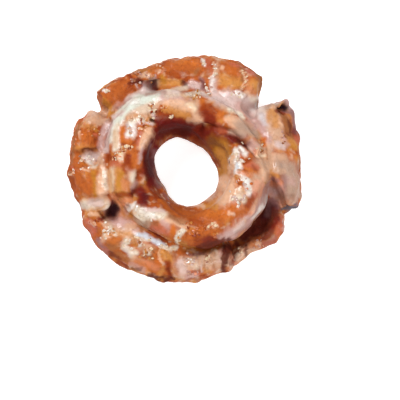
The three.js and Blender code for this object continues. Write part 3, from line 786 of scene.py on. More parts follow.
        ("blush", 0.8, 1.2, [(200, 20), (204, 22.5)]),
        ("apricot", 0.7, 1.5, [(210, 28), (211, 26)]),
        ("blush", 0.5, 1.2, [(214, 28), (216, 29)]),
        ("rust", 0.7, 1, [(195, 18.5), (189, 17)]),
        ("maroon", 0.9, 1.3, [(206, 24.5), (207, 20.5)]),
        ("maroon", 1, 2.3, [(208, 19), (220, 22)]),
        ("plum_shade", 0.6, 1.2, [(214, 19), (223, 21)]),
        # Left upper, glaze, its grey-white band partly a painted reflection, with painted glints and
        # painted peach highlights along the inner shoulder.
        ("frost_and_reflection", 1, 3.1, [(119, 30), (127, 31), (136, 31.5)]),
        ("frost_and_reflection", 1, 2.3, [(114, 30.5), (121, 33), (130, 32.5), (139, 33), (148, 32)]),
        ("frost_and_reflection", 0.8, 2.3, [(140, 32.5), (148, 31.5)]),
        ("milk", 0.7, 1.5, [(132, 33), (128, 31.5)]),
        ("rose", 0.9, 1.2, [(113, 34), (120, 34.5)]),
        ("rose", 0.9, 1.3, [(145, 34), (140, 32.5)]),
        ("rose", 1, 1.7, [(151, 33.5), (159, 32), (167, 32)]),
        ("frost_and_reflection", 0.7, 1.2, [(153, 31.5), (161, 30.5)]),
        ("cream", 1, 1.5, [(150, 30), (160, 29), (167, 27.5)]),
        ("gold", 0.4, 1.2, [(155, 30), (165, 28)]),
        ("tan", 1, 1.9, [(138, 28.5), (131, 27), (124, 26.5)]),
        ("cream", 0.6, 1.5, [(131, 28), (124, 26.5)]),
        ("gold", 0.5, 1.2, [(141, 28.5), (136, 26.5)]),
        ("cream", 1, 1.2, [(142, 27), (135, 24.5)]),
        ("milk", 1, 2.1, [(145, 25.5), (152, 24.5)]),
        ("rose", 0.6, 0.8, [(146, 24.5), (151, 24)]),
        ("blush", 0.9, 0.9, [(138, 24.5), (137, 23)]),
        ("rose", 1, 0.9, [(132, 22.5), (130, 21)]),
        ("orange", 1, 1.3, [(150, 28.5), (159, 26.5)]),
        ("orange", 0.9, 1.2, [(158, 24.5), (156, 22.5)]),
        ("orange", 1, 1.2, [(142, 22.5), (136, 21)]),
        ("bronze", 0.7, 0.8, [(140, 22), (136, 21.5)]),
        ("peach", 1, 1.7, [(139, 19.5), (149, 19), (158, 18.5)]),
        ("peach", 1, 1.3, [(136, 19), (146, 18.5), (155, 17.5)]),
        ("blush", 0.8, 1, [(159, 17.5), (172, 18)]),
        ("peach", 1, 1.3, [(136, 19), (146, 18.5), (155, 17)]),
        ("terracotta", 0.8, 0.9, [(145, 21.5), (157, 20.5)]),
        ("rust", 0.8, 0.9, [(152, 21.5), (162, 22)]),
        ("crust", 1, 2.7, [(166, 22), (180, 21)]),
        ("rust", 0.8, 1.4, [(172, 22.5), (182, 21.5)]),
        ("maroon", 0.5, 1.2, [(172, 22.5), (178, 23)]),
        ("peach", 1, 0.9, [(168, 24.5), (176, 25.5)]),
        ("cream", 0.9, 0.5, [(170, 25), (175, 25)]),
        ("peach", 0.9, 0.8, [(163, 24), (164, 22.5)]),
        ("brown", 0.9, 0.5, [(167, 26.5), (165, 25)]),
        ("rust", 0.9, 1.3, [(171, 31), (176, 27.5)]),
        ("terracotta", 0.8, 1.3, [(178, 28), (180, 25.5)]),
        ("blush", 0.7, 0.8, [(161, 17.5), (177, 18)]),
        ("orange", 0.6, 1.2, [(170, 19.5), (182, 20)]),
        # Steam holes on the inner edge, painted dark inside as shade, with painted glints beside them.
        ("brown", 0.9, 0.5, [(122, 27), (121, 25.5)]),
        ("cream", 1, 0.6, [(123, 25), (121, 24.5)]),
        ("rose", 0.9, 0.7, [(123, 23.5), (122, 22)]),
        ("hole_shade", 0.9, 0.8, [(127, 22), (124, 20.5)]),
        ("cream", 1, 0.5, [(109, 20), (107, 19.5)]),
    ],
    "wall": [
        # Wall of the hole and the brown slopes above it: painted shade in the darkest tones on the side
        # away from the window light, and lighter gold and peach painted where it faces the light.
        ("rust", 1, 1.9, [(116, 23), (104, 20), (88, 18.5)]),
        ("maroon", 0.8, 1.5, [(121, 21), (105, 18.5), (92, 17.5)]),
        ("peach", 1, 1.2, [(87, 18), (75, 16.5)]),
        ("maroon", 1, 1.3, [(86, 15.5), (67, 14.5), (49, 16)]),
        ("maroon", 1, 2.3, [(131, 17.5), (121, 17.5), (104, 16.5), (85, 15.5)]),
        ("wine_shade", 0.9, 1.5, [(124, 19.5), (109, 17.5), (94, 16)]),
        ("umber_shade", 0.7, 1.2, [(126, 17.5), (108, 16), (88, 15.5)]),
        ("rust", 1, 1.9, [(75, 13.5), (55, 13), (38, 13)]),
        ("maroon", 0.9, 0.9, [(77, 14.5), (60, 14.5), (41, 16.5)]),
        ("umber_shade", 1, 1.7, [(35, 18), (28, 21), (20, 24.5)]),
        ("maroon", 0.9, 1.2, [(41, 16.5), (29, 19.5)]),
        ("plum_shade", 0.6, 0.8, [(23, 23.5), (16, 24)]),
        ("bronze", 1, 2.3, [(47, 14), (31, 15.5)]),
        ("ochre", 1, 3.1, [(30, 14.5), (12, 15.5), (-3, 14)]),
        ("gold", 0.8, 1.9, [(26, 14.5), (7, 15.5)]),
        ("gold", 0.8, 1.5, [(5, 14.5), (-5, 16)]),
        ("peach", 1, 1.2, [(11, 17.5), (-4, 17)]),
        ("rust", 0.7, 0.9, [(42, 12), (12, 12)]),
        ("bronze", 0.5, 1.2, [(32, 17.5), (20, 17.5)]),
        ("peach", 1, 3.1, [(342, 15), (328, 19), (316, 19)]),
        ("tan", 0.6, 1.9, [(329, 14.5), (307, 13.5)]),
        ("gold", 0.8, 1.5, [(295, 16), (305, 18.5)]),
        ("peach", 0.8, 0.9, [(285, 14), (293, 16)]),
        ("wine_shade", 1, 2.1, [(142, 16), (159, 15.5), (189, 15), (205, 14.5)]),
        ("umber_shade", 0.8, 1, [(153, 16), (177, 15), (199, 16)]),
        ("mauve", 0.7, 1.2, [(147, 15.5), (164, 14), (184, 12.5), (212, 12.5)]),
        ("plum_shade", 0.6, 1.2, [(162, 14.5), (191, 14)]),
        ("mauve", 0.6, 0.9, [(227, 13), (238, 13.5)]),
        ("maroon", 0.7, 1.5, [(208, 15), (222, 16)]),
        ("rust", 1, 1.9, [(226, 17), (241, 17)]),
        ("orange", 0.7, 0.9, [(233, 17), (247, 17)]),
        ("crust", 1, 2.3, [(248, 17.5), (266, 17), (286, 19)]),
    ],
    "ring": [
        # Glaze that runs over the crack where it is shallow, with thin painted shade lines where the crack
        # still shows.
        ("rose", 1, 2.3, [(68, 29), (59, 29), (52, 30.5)]),
        ("blush", 0.9, 1.9, [(50, 31.5), (41, 32), (31, 32)]),
        ("blush", 0.8, 1.5, [(27, 32.5), (19, 33)]),
        ("tan", 0.9, 1.5, [(15, 31.5), (7, 32), (0, 32)]),
        ("orange", 0.9, 0.9, [(21, 31.5), (16, 31)]),
        ("butter", 0.9, 0.9, [(14, 29), (9, 29.5)]),
        ("brown", 0.5, 0.5, [(14, 31.5), (6, 30.5)]),
        ("sand", 0.5, 0.5, [(49, 31.5), (40, 31), (30, 31.5)]),
        ("mauve", 0.3, 0.3, [(47, 31), (38, 31), (30, 31)]),
        ("gold", 0.7, 1, [(357, 32), (355, 34.5)]),
        ("mauve", 0.8, 0.6, [(354, 32.5), (352, 35.5)]),
        ("rose", 0.7, 1.2, [(132, 35), (122, 34.5), (113, 35)]),
        ("rose", 0.8, 1, [(79, 29), (70, 27.5)]),
        ("cream", 0.7, 1.2, [(104, 30), (91, 31)]),
        ("mauve", 0.6, 0.4, [(147, 34), (155, 34), (165, 33)]),
        ("blush", 0.8, 1.2, [(154, 35.5), (161, 35), (168, 34)]),
        ("cream", 0.5, 1.5, [(183, 31), (192, 32)]),
        ("gold", 0.6, 1.2, [(185, 29), (196, 30.5)]),
        ("apricot", 0.6, 1.2, [(200, 30.5), (208, 29)]),
        ("dusk", 0.9, 1.3, [(119, 32.5), (113, 31), (107, 29)]),
        ("mauve", 0.4, 0.5, [(139, 35.5), (133, 35), (128, 34)]),
        # Painted shade in the wide tear at the lower right.
        ("umber_shade", 0.9, 1.2, [(300, 32), (296, 36), (293, 38.5)]),
        ("umber_shade", 0.8, 1.2, [(304, 33), (299, 34)]),
        # Steam hole on the left petal, painted dark inside as shade.
        ("umber_shade", 0.7, 1.5, [(205, 31.5), (213, 33)]),
        ("hole_shade", 0.9, 1.7, [(207, 31.5), (210, 32)]),
        # Burst in the crust of the top petal, painted dark inside as shade.
        ("hole_shade", 0.9, 0.9, [(112, 35.5), (110, 34)]),
        ("umber_shade", 0.8, 1.2, [(112, 35), (110, 34)]),
        # Painted shade deep in the crack under the lip.
        ("mauve", 0.6, 1.5, [(341, 33.5), (333, 35)]),
        ("cocoa_shade", 0.5, 1.5, [(336, 37), (329, 37.5)]),
        # Golden slope above the hole.
        ("gold", 0.8, 1.5, [(111, 23.5), (101, 21), (88, 19.5)]),
        # Fried gap between the two glaze patches of the lower crown.
        ("brown", 0.8, 1.5, [(252, 20.5), (267, 21.5)]),
        # Fried gap in the glaze of the right crown.
        ("apricot", 0.8, 1.2, [(351, 20.5), (350, 24)]),
        # Thin glaze on the bottom petal.
        ("tan", 0.6, 1.9, [(271, 35.5), (287, 36)]),
        # Browned glaze by the right crack.
        ("apricot", 0.7, 1.2, [(13, 28), (11, 29.5)]),
    ],
}


def paint_of(name):
    """A tone's colour as a share of light sent back, and its glaze."""
    red, green, blue, glaze = TONES[name]
    return np.array([(c / 255) ** 2.2 / OPEN_LIGHT for c in (red, green, blue)] + [glaze])


# Crumbly places, where the glaze has broken into chips: how many chips, the longest one, how far they
# stray from a middle line, their tones, and the angle and radius of points along the line.
CLUSTERS = [
    (13, 2, 1.6, "butter gold cream rust", [(120, 27), (120, 25), (124, 22.5)]),
    (11, 1.7, 1.6, "cream gold peach rust", [(141, 28.5), (136, 26), (131, 22.5)]),
    (11, 2, 2, "milk rose cream peach", [(148, 27), (152, 23.5), (145, 22.5)]),
    (8, 1.6, 1.2, "amber gold rust", [(141, 22), (135, 22)]),
    (18, 2, 1.8, "butter cream gold rust", [(173, 28), (170, 25), (164, 24.5), (162, 22.5)]),
    (6, 1.6, 1.6, "cream salmon", [(175, 25), (170, 26.5)]),
    (18, 1.6, 3, "apricot gold orange salmon", [(159, 45), (164, 43), (160, 40.5), (156, 38.5)]),
    (15, 1.7, 1, "butter peach milk brown", [(182, 45.5), (180, 41.5), (181, 38.5), (177, 35.5)]),
    (12, 1.9, 1.8, "rose cream dusk", [(175, 41), (173, 38.5), (174, 35)]),
    (18, 1.7, 2, "cream milk gold", [(217, 40), (219, 41), (218, 37), (223, 37.5)]),
    (11, 1.6, 2.4, "peach terracotta rust", [(205, 41.5), (211, 40.5), (210, 38)]),
    (25, 1.7, 3.4, "butter gold ochre brown", [(237, 33.5), (245, 33.5), (245, 36.5), (251, 34)]),
    (10, 1.7, 1.6, "milk cream", [(230, 36), (231, 38.5), (236, 39)]),
    (8, 1.6, 1.4, "butter cream gold", [(250, 31.5), (256, 31), (261, 31)]),
    (6, 1.6, 0.8, "gold crust rust", [(270, 21.5), (271, 24)]),
    (17, 1.7, 2, "orange apricot rust", [(273, 25.5), (281, 25.5), (287, 25.5)]),
    (11, 1.9, 1.2, "peach butter orange", [(288, 25), (293, 25.5), (298, 24.5)]),
    (6, 1.7, 0.9, "gold orange rust", [(290, 28), (292, 29)]),
    (18, 2.3, 2.6, "milk rose cream tan", [(18, 21.5), (10, 19), (-4, 19.5)]),
    (15, 2.2, 2.4, "milk rose orange", [(343, 19.5), (341, 23), (336, 25.5)]),
    (15, 2, 2.4, "rose cream milk tan", [(330, 21.5), (325, 23.5), (322, 25.5)]),
    (8, 1.7, 1.6, "cream gold brown", [(20, 30.5), (15, 29.5), (11, 29.5)]),
    (10, 1.4, 0.8, "peach butter gold", [(61, 43.5), (57, 41.5), (55, 37.5)]),
    (11, 1.7, 1.2, "milk cream blush", [(76, 42.5), (73, 38.5), (76, 35.5)]),
    (10, 1.6, 1.8, "milk rose blush", [(76, 34), (73, 30.5), (77, 32)]),
    (6, 1.6, 0.6, "milk cream", [(82, 43.5), (81, 40.5)]),
    (11, 1.7, 1.8, "butter cream ochre", [(89, 28), (84, 27.5), (81, 29)]),
    (5, 1.7, 0.7, "butter cream", [(109, 20.5), (108, 19.5)]),
    (8, 1.6, 0.9, "gold peach orange", [(115, 24), (110, 24)]),
    (13, 1.7, 2.4, "blush brown russet rose", [(121, 41.5), (121, 38.5), (124, 36.5)]),
    (10, 1.6, 2.4, "gold apricot brown blush", [(117, 41.5), (112, 40), (109, 36)]),
    (6, 1.6, 0.9, "milk cream", [(137, 44), (136, 42.5)]),
    (8, 1.6, 1.4, "peach apricot", [(105, 42), (103, 38)]),
    (7, 1.6, 1, "butter tan brown", [(304, 35), (304, 38)]),
    (8, 1.4, 1.6, "peach blush", [(312, 37.5), (315, 39.5)]),
    (9, 1.6, 1, "tan butter brown", [(283, 33), (283, 36.5)]),
    (13, 1.9, 2.6, "rose milk blush", [(269, 35.5), (275, 36.5)]),
    (8, 1.4, 1.2, "salmon blush", [(271, 40), (276, 40)]),
    (8, 1.4, 1.6, "peach blush brown", [(25, 40), (21, 40), (15, 37.5)]),
    (8, 1.6, 1.4, "blush cream", [(61, 33), (54, 35)]),
    (10, 1.7, 1.6, "milk cream", [(218, 25.5), (229, 24.5), (240, 23)]),
    (6, 1.6, 1, "cream gold", [(265, 25.5), (263, 28.5)]),
]

# The fried ground under the patches: blotches of gold and rust, and flecks of thin glaze. Each has the
# noise values at which it starts and is full.
GROUND_STRENGTH = 0.8
blotch = grain(form, 6.0, 31, 2)
fleck = grain(form, 2.2, 37, 2)
ground = np.empty(form.shape[:-1] + (4,))
ground[:] = paint_of("crust")
for name, start, full, field in (("gold", 0.0, 0.5, blotch), ("rust", 0.1, 0.6, -blotch),
                                 ("tan", 0.15, 0.5, fleck)):
    ground = mix(ground, paint_of(name), smooth(field, start, full)[..., None] * GROUND_STRENGTH)

# Where each group of strokes starts and ends, counted in corners of the cross-section.
SIDE, PETAL_EDGE, CRACK, FOLD, WAIST = 2, 3, 7, 13, 14
places = np.concatenate([i + np.arange(n) / n for i, n in enumerate(SIDES)])
over_edge = smooth(places, SIDE - 0.2, SIDE + 0.6)
over_crown = smooth(places, CRACK - 0.2, CRACK + 0.4)
within = {
    "petals": over_edge * (1 - smooth(places, CRACK, CRACK + 0.6)),
    "crown": over_crown,
    "wall": over_crown,
    "ring": over_edge,
}

RAGGED_BY = 0.6  # how far the strokes' edges stray
RAGGED_SIZE = 2.6  # and over what length
STROKE_FULL = 0.25  # in half widths of a stroke, where it starts to fade
STROKE_END = 1.45  # and where it ends
stray = np.stack([grain(form, RAGGED_SIZE, 41 + k, 3) for k in range(3)], -1)
ragged = form + RAGGED_BY * stray
ragged_radius = np.hypot(ragged[..., 0], ragged[..., 1])
ragged_angle = np.degrees(np.arctan2(ragged[..., 1], ragged[..., 0]))
# The strokes lay the crust's and the glaze's own tones together with painted shade and painted highlights.
paint = ground
for part, strokes in STROKES.items():
    here = within[part] * (1 - smooth(places, WAIST + 0.6, WAIST + 1.2))
    for name, strength, half_width, line in strokes:
        away = away_from(line, ragged_angle, ragged_radius) / half_width
        cover = strength * here * (1 - smooth(away, STROKE_FULL, STROKE_END))
        paint = mix(paint, paint_of(name), cover[..., None])

# The sides and the waist of the hole hang over, so little glaze stays on them.
on_top = smooth(places, PETAL_EDGE - 1, PETAL_EDGE + 0.6)
paint[..., 3] *= on_top * (1 - 0.9 * smooth(places, FOLD + 0.2, FOLD + 1.2))

# Relief of the crust, in millimetres outwards from the form.
SWELL, SWELL_LENGTH = 0.7, 15  # slow unevenness of all the dough
TORN_SWELL, TORN_SWELL_LENGTH = 0.35, 8  # and more of it on the torn petals
LUMP_HEIGHT, LUMP_SIZE = 0.5, 7.5  # lumps of the torn petals
LUMP_SINK = 0.4  # how far the creases between them are sunk
CRAG_HEIGHT, CRAG_SIZE = 0.22, 2.6  # fine crags of the petals
CROWN_GRAIN, CROWN_GRAIN_SIZE = 0.22, 4.5  # coarser, softer grain of the crown and the sides
CRUMB_HEIGHT, CRUMB_SIZE = 0.5, 1.5  # crumbs where the glaze has broken
CRUMB_FADE = 1.2  # how far past a crumbly place the crumbs die away
GLAZE_THICKNESS = 0.35  # from bare crust to the thickest glaze
THIN_GLAZE = 0.3  # thickness of glaze, on its scale of 0 to 1, at which the crust is at the form
FLAT_BELOW = 3  # height under which the relief fades into the flat underside

# Torn dough lies past the crack and above the foot of the side.
torn = smooth(radius, 30, 35) * smooth(height, 4, 10)
relief = SWELL * waves(form, SWELL_LENGTH) + TORN_SWELL * torn * waves(form, TORN_SWELL_LENGTH)
for dent_angle, dent_radius, long, wide, depth in DENTS:
    turn = np.radians(angle - dent_angle)
    outwards = (radius * np.cos(turn) - dent_radius) / long
    sideways = radius * np.sin(turn) / wide
    relief -= np.where(normal[..., 2] > 0, depth * np.exp(-(outwards**2) - sideways**2), 0)
for wide, depth, line in CREASES:
    away = away_from(line, angle, radius) / wide
    relief -= np.where(normal[..., 2] > 0.1, depth * np.exp(-(away**2)), 0)
relief += torn * (LUMP_HEIGHT * lumps(form, LUMP_SIZE, 11) - LUMP_SINK)
relief += CRAG_HEIGHT * torn * grain(form, CRAG_SIZE, 5, 3)
crumbly = np.zeros(radius.shape)
for _, _, spread, _, line in CLUSTERS:
    away = away_from(line, angle, radius)
    crumbly = np.maximum(crumbly, 1 - smooth(away, 0.5 * spread, spread + CRUMB_FADE))
relief += CRUMB_HEIGHT * crumbly * grain(form, CRUMB_SIZE, 61, 2)
relief += CROWN_GRAIN * (1 - torn) * grain(form, CROWN_GRAIN_SIZE, 23, 3)
relief += GLAZE_THICKNESS * (paint[..., 3] - THIN_GLAZE)
off_base = smooth(height, 0, FLAT_BELOW)
dough_points = form + normal * (relief * off_base)[..., None]
dough_points[..., 2] = np.maximum(dough_points[..., 2], 0)

# Middle of the outline at the origin, as the frame has it.
low, high = (np.array(corner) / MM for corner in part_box("doughnut"))
flat = dough_points.reshape(-1, 3)
shift = (low + high) / 2 - (flat.min(0) + flat.max(0)) / 2
shift[2] = 0

# A grid of faces, one row for each station, is laid over the form, and its open edges are joined.
JOIN_WITHIN = 0.002 * MM
closed = np.pad(dough_points + shift, ((0, 1), (0, 1), (0, 0)), mode="wrap")
bpy.ops.mesh.primitive_grid_add(x_subdivisions=closed.shape[0] - 1, y_subdivisions=closed.shape[1] - 1)
dough = bpy.context.object
dough.name = "dough"
dough.data.name = "dough"
dough.data.vertices.foreach_set("co", (closed.transpose(1, 0, 2) * MM).astype(np.float32).ravel())
# The tone attribute carries these tones, painted shade and highlights among them.
closed_paint = np.pad(paint, ((0, 1), (0, 1), (0, 0)), mode="wrap").transpose(1, 0, 2)
tone = dough.data.attributes.new("tone", "FLOAT_COLOR", "POINT")
tone.data.foreach_set("color", closed_paint.astype(np.float32).ravel())
bpy.ops.object.mode_set(mode="EDIT")
bpy.ops.mesh.select_all(action="SELECT")
bpy.ops.mesh.remove_doubles(threshold=JOIN_WITHIN)
bpy.ops.object.mode_set(mode="OBJECT")
bpy.ops.object.shade_smooth()

crust = bpy.data.materials.new("fried crust")
crust.use_nodes = True
crust_nodes = crust.node_tree.nodes
crust_links = crust.node_tree.links
surface = crust_nodes["Principled BSDF"]
place = crust_nodes.new("ShaderNodeTexCoord").outputs["Object"]
painted = crust_nodes.new("ShaderNodeAttribute")
painted.attribute_name = "tone"

FRIED_DARKER = (0.72, 0.52, 0.36, 1)
DRIFT_STRENGTH = 0.3
DARK_CRUMB = (0.45, 0.28, 0.2, 1)
CRUMB_STRENGTH = 0.25
MILKY_SUGAR = (0.6, 0.5, 0.42, 1)
BROWN_HAIRLINE = (0.5, 0.3, 0.18, 1)
CRACK_WANDER = 0.0022  # metres by which the hairlines stray
FINE_RELIEF = 0.0005  # metres from the deepest pore to the highest speck
COLOUR_BELOW, COLOUR_ABOVE, COLOUR_MIXED = 6, 7, 2  # a colour mix node's own inputs and output


def crust_noise(name, grains_per_metre, detail, roughness=0.6, warp=0.0):
    """Noise over the dough, about 0.2 to 0.8."""
    node = crust_nodes.new("ShaderNodeTexNoise")
    node.name = name
    node.inputs["Scale"].default_value = grains_per_metre
    node.inputs["Detail"].default_value = detail
    node.inputs["Roughness"].default_value = roughness
    node.inputs["Distortion"].default_value = warp
    crust_links.new(place, node.inputs["Vector"])
    return node.outputs["Fac"]


def crust_range(value, from_low, from_high, to_low=0.0, to_high=1.0):
    """A value spread from one range over another, and kept inside it."""
    node = crust_nodes.new("ShaderNodeMapRange")
    node.interpolation_type = "SMOOTHSTEP"
    crust_links.new(value, node.inputs["Value"])
    node.inputs["From Min"].default_value = from_low
    node.inputs["From Max"].default_value = from_high
    node.inputs["To Min"].default_value = to_low
    node.inputs["To Max"].default_value = to_high
    return node.outputs["Result"]


def crust_math(operation, a, b, c=None):
    """Sum or product of values and sockets."""
    node = crust_nodes.new("ShaderNodeMath")
    node.operation = operation
    for socket, value in zip(node.inputs, (a, b, c)):
        if isinstance(value, (int, float)):
            socket.default_value = value
        elif value is not None:
            crust_links.new(value, socket)
    return node.outputs["Value"]


def crust_blend(kind, amount, below, above):
    """Colour `above` over `below`."""
    node = crust_nodes.new("ShaderNodeMix")
    node.data_type = "RGBA"
    node.blend_type = kind
    crust_links.new(amount, node.inputs["Factor"])
    crust_links.new(below, node.inputs[COLOUR_BELOW])
    node.inputs[COLOUR_ABOVE].default_value = above
    return node.outputs[COLOUR_MIXED]


glaze = painted.outputs["Alpha"]
bare = crust_range(glaze, 0.35, 0.75, 1.0, 0.0)

# Fried tones drift over a few millimetres; dark crumbs and pores show where the glaze is thin.
drift = crust_range(crust_noise("drift", 330, 4), 0.3, 0.7)
drifting = crust_math("MULTIPLY", drift, DRIFT_STRENGTH)
colour = crust_blend("MULTIPLY", drifting, painted.outputs["Color"], FRIED_DARKER)
crumb = crust_range(crust_noise("crumb", 1150, 3, 0.7), 0.52, 0.68)
bare_crumb = crust_math("MULTIPLY", crumb, crust_math("MULTIPLY", bare, CRUMB_STRENGTH))
colour = crust_blend("MULTIPLY", bare_crumb, colour, DARK_CRUMB)

# Milky specks of sugar where the glaze has dried, and brown hairlines where it has cracked.
speck = crust_range(crust_noise("speck", 900, 4, 0.75, 0.6), 0.56, 0.66)
dried_speck = crust_math("MULTIPLY", speck, crust_range(glaze, 0.2, 0.95, 0.03, 0.45))
colour = crust_blend("MIX", dried_speck, colour, MILKY_SUGAR)
shell = crust_nodes.new("ShaderNodeTexVoronoi")
shell.feature = "DISTANCE_TO_EDGE"
shell.inputs["Scale"].default_value = 300
warped = crust_nodes.new("ShaderNodeTexNoise")
warped.inputs["Scale"].default_value = 500
crust_links.new(place, warped.inputs["Vector"])
nudge = crust_nodes.new("ShaderNodeVectorMath")
nudge.operation = "MULTIPLY_ADD"
crust_links.new(warped.outputs["Color"], nudge.inputs[0])
nudge.inputs[1].default_value = (CRACK_WANDER,) * 3
crust_links.new(place, nudge.inputs[2])
crust_links.new(nudge.outputs["Vector"], shell.inputs["Vector"])
hairline = crust_range(shell.outputs["Distance"], 0.0, 0.06, 1.0, 0.0)
where_cracked = crust_range(crust_noise("where cracked", 160, 2), 0.48, 0.6)
hairline = crust_math("MULTIPLY", hairline, where_cracked)
cracked = crust_math("MULTIPLY", hairline, crust_range(glaze, 0.5, 0.9, 0.0, 0.3))
colour = crust_blend("MULTIPLY", cracked, colour, BROWN_HAIRLINE)
crust_links.new(colour, surface.inputs["Base Color"])

# Bare crust is dull. The glaze gives it a shine, and a thin clear coat where it is thick.
crust_links.new(crust_range(glaze, 0.0, 0.5, 0.9, 0.36), surface.inputs["Roughness"])
surface.inputs["Specular IOR Level"].default_value = 0.07
crust_links.new(crust_range(glaze, 0.1, 0.9, 0.04, 0.5), surface.inputs["Coat Weight"])
surface.inputs["Coat Roughness"].default_value = 0.16

# Drifts and specks stand up, pores and hairlines are sunk.
fine_relief = crust_math("MULTIPLY_ADD", crumb, -0.35, crust_math("MULTIPLY", drift, 0.5))
fine_relief = crust_math("MULTIPLY_ADD", speck, 0.4, fine_relief)
fine_relief = crust_math("MULTIPLY_ADD", cracked, -0.8, fine_relief)
bump = crust_nodes.new("ShaderNodeBump")
bump.inputs["Strength"].default_value = 0.6
bump.inputs["Distance"].default_value = FINE_RELIEF
crust_links.new(fine_relief, bump.inputs["Height"])
crust_links.new(bump.outputs["Normal"], surface.inputs["Normal"])

dough.data.materials.clear()
dough.data.materials.append(crust)
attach(dough, "root")
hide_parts("doughnut")

# ---- The glaze flakes ------------------------------------------------------------------------------
# Where sugar glaze dried over rough crumb it broke into small chips, which stand up on the crust and
# glint. Each is a thin six-sided plate that narrows upwards, stuck to the dough at a tilt of its own.

CHIP_THICKNESS = 0.4
CHIP_TILT = math.radians(20)
CHIP_TOP = (0.68, 0.6, 1)  # its upper face, as a share of the lower one
CHIP_BROKEN = 0.05  # how far its corners are out of place, as a share of its size
CHIP_LIFT = 0.05  # its middle above the dough
LOWEST_CHIP = 6.0  # height under which no glaze has broken
ABOVE_DOUGH = 60.0  # height from which the dough under a chip is looked for
CLOUDED_GLAZE = (0.7, 0.52, 0.36, 1)

bpy.ops.object.select_all(action="DESELECT")
bpy.ops.mesh.primitive_cylinder_add(vertices=6, radius=0.5, depth=1, location=(0, 0, 0))
flakes = bpy.context.object
flakes.name = "glaze_flakes"
flakes.data.name = "glaze_flakes"
bpy.ops.object.mode_set(mode="EDIT")
bpy.ops.mesh.select_mode(type="FACE")
bpy.ops.mesh.select_all(action="DESELECT")
bpy.ops.object.mode_set(mode="OBJECT")
for face in flakes.data.polygons:
    face.select = face.normal.z > 0.9  # the upper face
bpy.ops.object.mode_set(mode="EDIT")
bpy.ops.transform.resize(value=CHIP_TOP)
bpy.ops.object.mode_set(mode="OBJECT")

chip_corners = np.array([v.co for v in flakes.data.vertices])
chip_faces = [list(face.vertices) for face in flakes.data.polygons]
luck = np.random.default_rng(7)
bpy.context.view_layer.update()
corners, faces, tones = [], [], []
for count, longest, spread, names, line in CLUSTERS:
    ends = np.array([(r * np.cos(np.radians(a)), r * np.sin(np.radians(a))) for a, r in line])
    for _ in range(count):
        stretch = luck.integers(len(ends) - 1)
        spot = mix(ends[stretch], ends[stretch + 1], luck.random())
        spot = spot + luck.normal(0, spread / 2, 2) + shift[:2]
        hit, on_dough, facing, _ = dough.ray_cast(Vector((*spot, ABOVE_DOUGH)) * MM, (0, 0, -1))
        if not hit or on_dough.z < LOWEST_CHIP * MM:
            continue
        tilt = luck.normal(0, CHIP_TILT, 2)
        turned = Euler((*tilt, luck.random() * 2 * math.pi)).to_quaternion()
        lie = facing.to_track_quat("Z", "Y") @ turned
        length = longest * (0.45 + 0.55 * luck.random())
        width = length * (0.5 + 0.4 * luck.random())
        thickness = CHIP_THICKNESS * (0.6 + luck.random())
        chip = chip_corners * (length, width, thickness)
        chip += luck.normal(0, CHIP_BROKEN * length, chip.shape)
        chip = chip @ np.array(lie.to_matrix()).T
        chip = chip + np.array(on_dough) / MM + CHIP_LIFT * np.array(facing)
        faces += [[len(corners) * len(chip_corners) + v for v in face] for face in chip_faces]
        corners.append(chip)
        tones.append(np.tile(paint_of(luck.choice(names.split())), (len(chip_corners), 1)))

flakes.data.clear_geometry()
flakes.data.from_pydata(np.vstack(corners) * MM, [], faces)
flake_tone = flakes.data.attributes.new("tone", "FLOAT_COLOR", "POINT")
flake_tone.data.foreach_set("color", np.vstack(tones).astype(np.float32).ravel())

dried = bpy.data.materials.new("dried glaze")
dried.use_nodes = True
dried_nodes = dried.node_tree.nodes
dried_links = dried.node_tree.links
chip_surface = dried_nodes["Principled BSDF"]
chip_tone = dried_nodes.new("ShaderNodeAttribute")
chip_tone.attribute_name = "tone"
clouding = dried_nodes.new("ShaderNodeTexNoise")
clouding.inputs["Scale"].default_value = 1400
clouding.inputs["Detail"].default_value = 2
dried_links.new(dried_nodes.new("ShaderNodeTexCoord").outputs["Object"], clouding.inputs["Vector"])
clouded = dried_nodes.new("ShaderNodeMix")
clouded.data_type = "RGBA"
clouded.blend_type = "MULTIPLY"
clouded.inputs[COLOUR_ABOVE].default_value = CLOUDED_GLAZE
dried_links.new(clouding.outputs["Fac"], clouded.inputs["Factor"])
dried_links.new(chip_tone.outputs["Color"], clouded.inputs[COLOUR_BELOW])
dried_links.new(clouded.outputs[COLOUR_MIXED], chip_surface.inputs["Base Color"])
chip_surface.inputs["Roughness"].default_value = 0.3
chip_surface.inputs["Specular IOR Level"].default_value = 0.25
dried_links.new(chip_tone.outputs["Alpha"], chip_surface.inputs["Coat Weight"])
chip_surface.inputs["Coat Roughness"].default_value = 0.1
flakes.data.materials.clear()
flakes.data.materials.append(dried)
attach(flakes, "root")

# ---- The table, lights and camera ------------------------------------------------------------------
# A plain white table, and a camera that looks down steeply. A soft window light comes from the upper
# left, a light from overhead and a fill from the lower right, all tinted a little towards daylight.

TABLE_COLOUR = (0.6, 0.6, 0.6, 1)
TABLE_GLOW = 0.75  # so that it comes out white at the dough's exposure
ROOM_LIGHT = 0.3

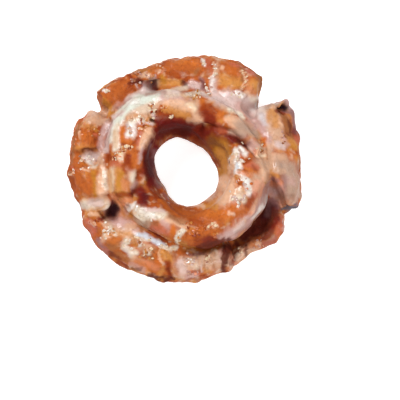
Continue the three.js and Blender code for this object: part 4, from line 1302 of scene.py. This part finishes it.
bpy.ops.mesh.primitive_plane_add(size=4.0, location=(0, 0, 0))
table = bpy.context.object
table.name = "table"
white = bpy.data.materials.new("white table")
white.use_nodes = True
table_surface = white.node_tree.nodes["Principled BSDF"]
table_surface.inputs["Base Color"].default_value = TABLE_COLOUR
table_surface.inputs["Roughness"].default_value = 0.9
table_surface.inputs["Emission Color"].default_value = (1, 1, 1, 1)
table_surface.inputs["Emission Strength"].default_value = TABLE_GLOW
table.data.materials.append(white)

world = bpy.data.worlds.new("studio")
bpy.context.scene.world = world
world.use_nodes = True
room = world.node_tree.nodes["Background"]
room.inputs["Color"].default_value = (1, 1, 1, 1)
room.inputs["Strength"].default_value = ROOM_LIGHT

AIM = Vector((4.95 + shift[0], -11.1 + shift[1], 14.0)) * MM  # right of the hole's axis and in front of it
CAMERA_DISTANCE = 0.7
CAMERA_ELEVATION = math.radians(82)
FRAME_WIDTH = 0.1546  # metres across the picture, at the point aimed at
towards_camera = Vector((0, -math.cos(CAMERA_ELEVATION), math.sin(CAMERA_ELEVATION)))
camera_data = bpy.data.cameras.new("camera")
camera_data.lens = camera_data.sensor_width * CAMERA_DISTANCE / FRAME_WIDTH
camera = bpy.data.objects.new("camera", camera_data)
bpy.context.scene.collection.objects.link(camera)
camera.location = AIM + towards_camera * CAMERA_DISTANCE
camera.rotation_euler = (math.radians(90) - CAMERA_ELEVATION, 0, 0)
bpy.context.scene.camera = camera

# Softbox: direction that it shines from, its distance and width in metres, and its power in watts.
SOFTBOXES = {
    "window": (Vector((-0.42, 0.4, 0.85)), 0.9, 0.4, 7.3),
    "overhead": (Vector((0, -0.12, 1)), 1.2, 0.3, 3.1),
    "fill": (Vector((0.5, -0.5, 0.6)), 0.9, 0.5, 4.6),
}
DAYLIGHT = (0.955, 1.0, 1.04)  # a little blue

for name, (direction, distance, width, power) in SOFTBOXES.items():
    light = bpy.data.lights.new(name, "AREA")
    light.shape = "DISK"
    light.size = width
    light.energy = power
    light.color = DAYLIGHT
    softbox = bpy.data.objects.new(name, light)
    bpy.context.scene.collection.objects.link(softbox)
    softbox.location = direction.normalized() * distance
    softbox.rotation_euler = direction.to_track_quat("Z", "Y").to_euler()

bpy.context.scene.view_settings.view_transform = "Standard"
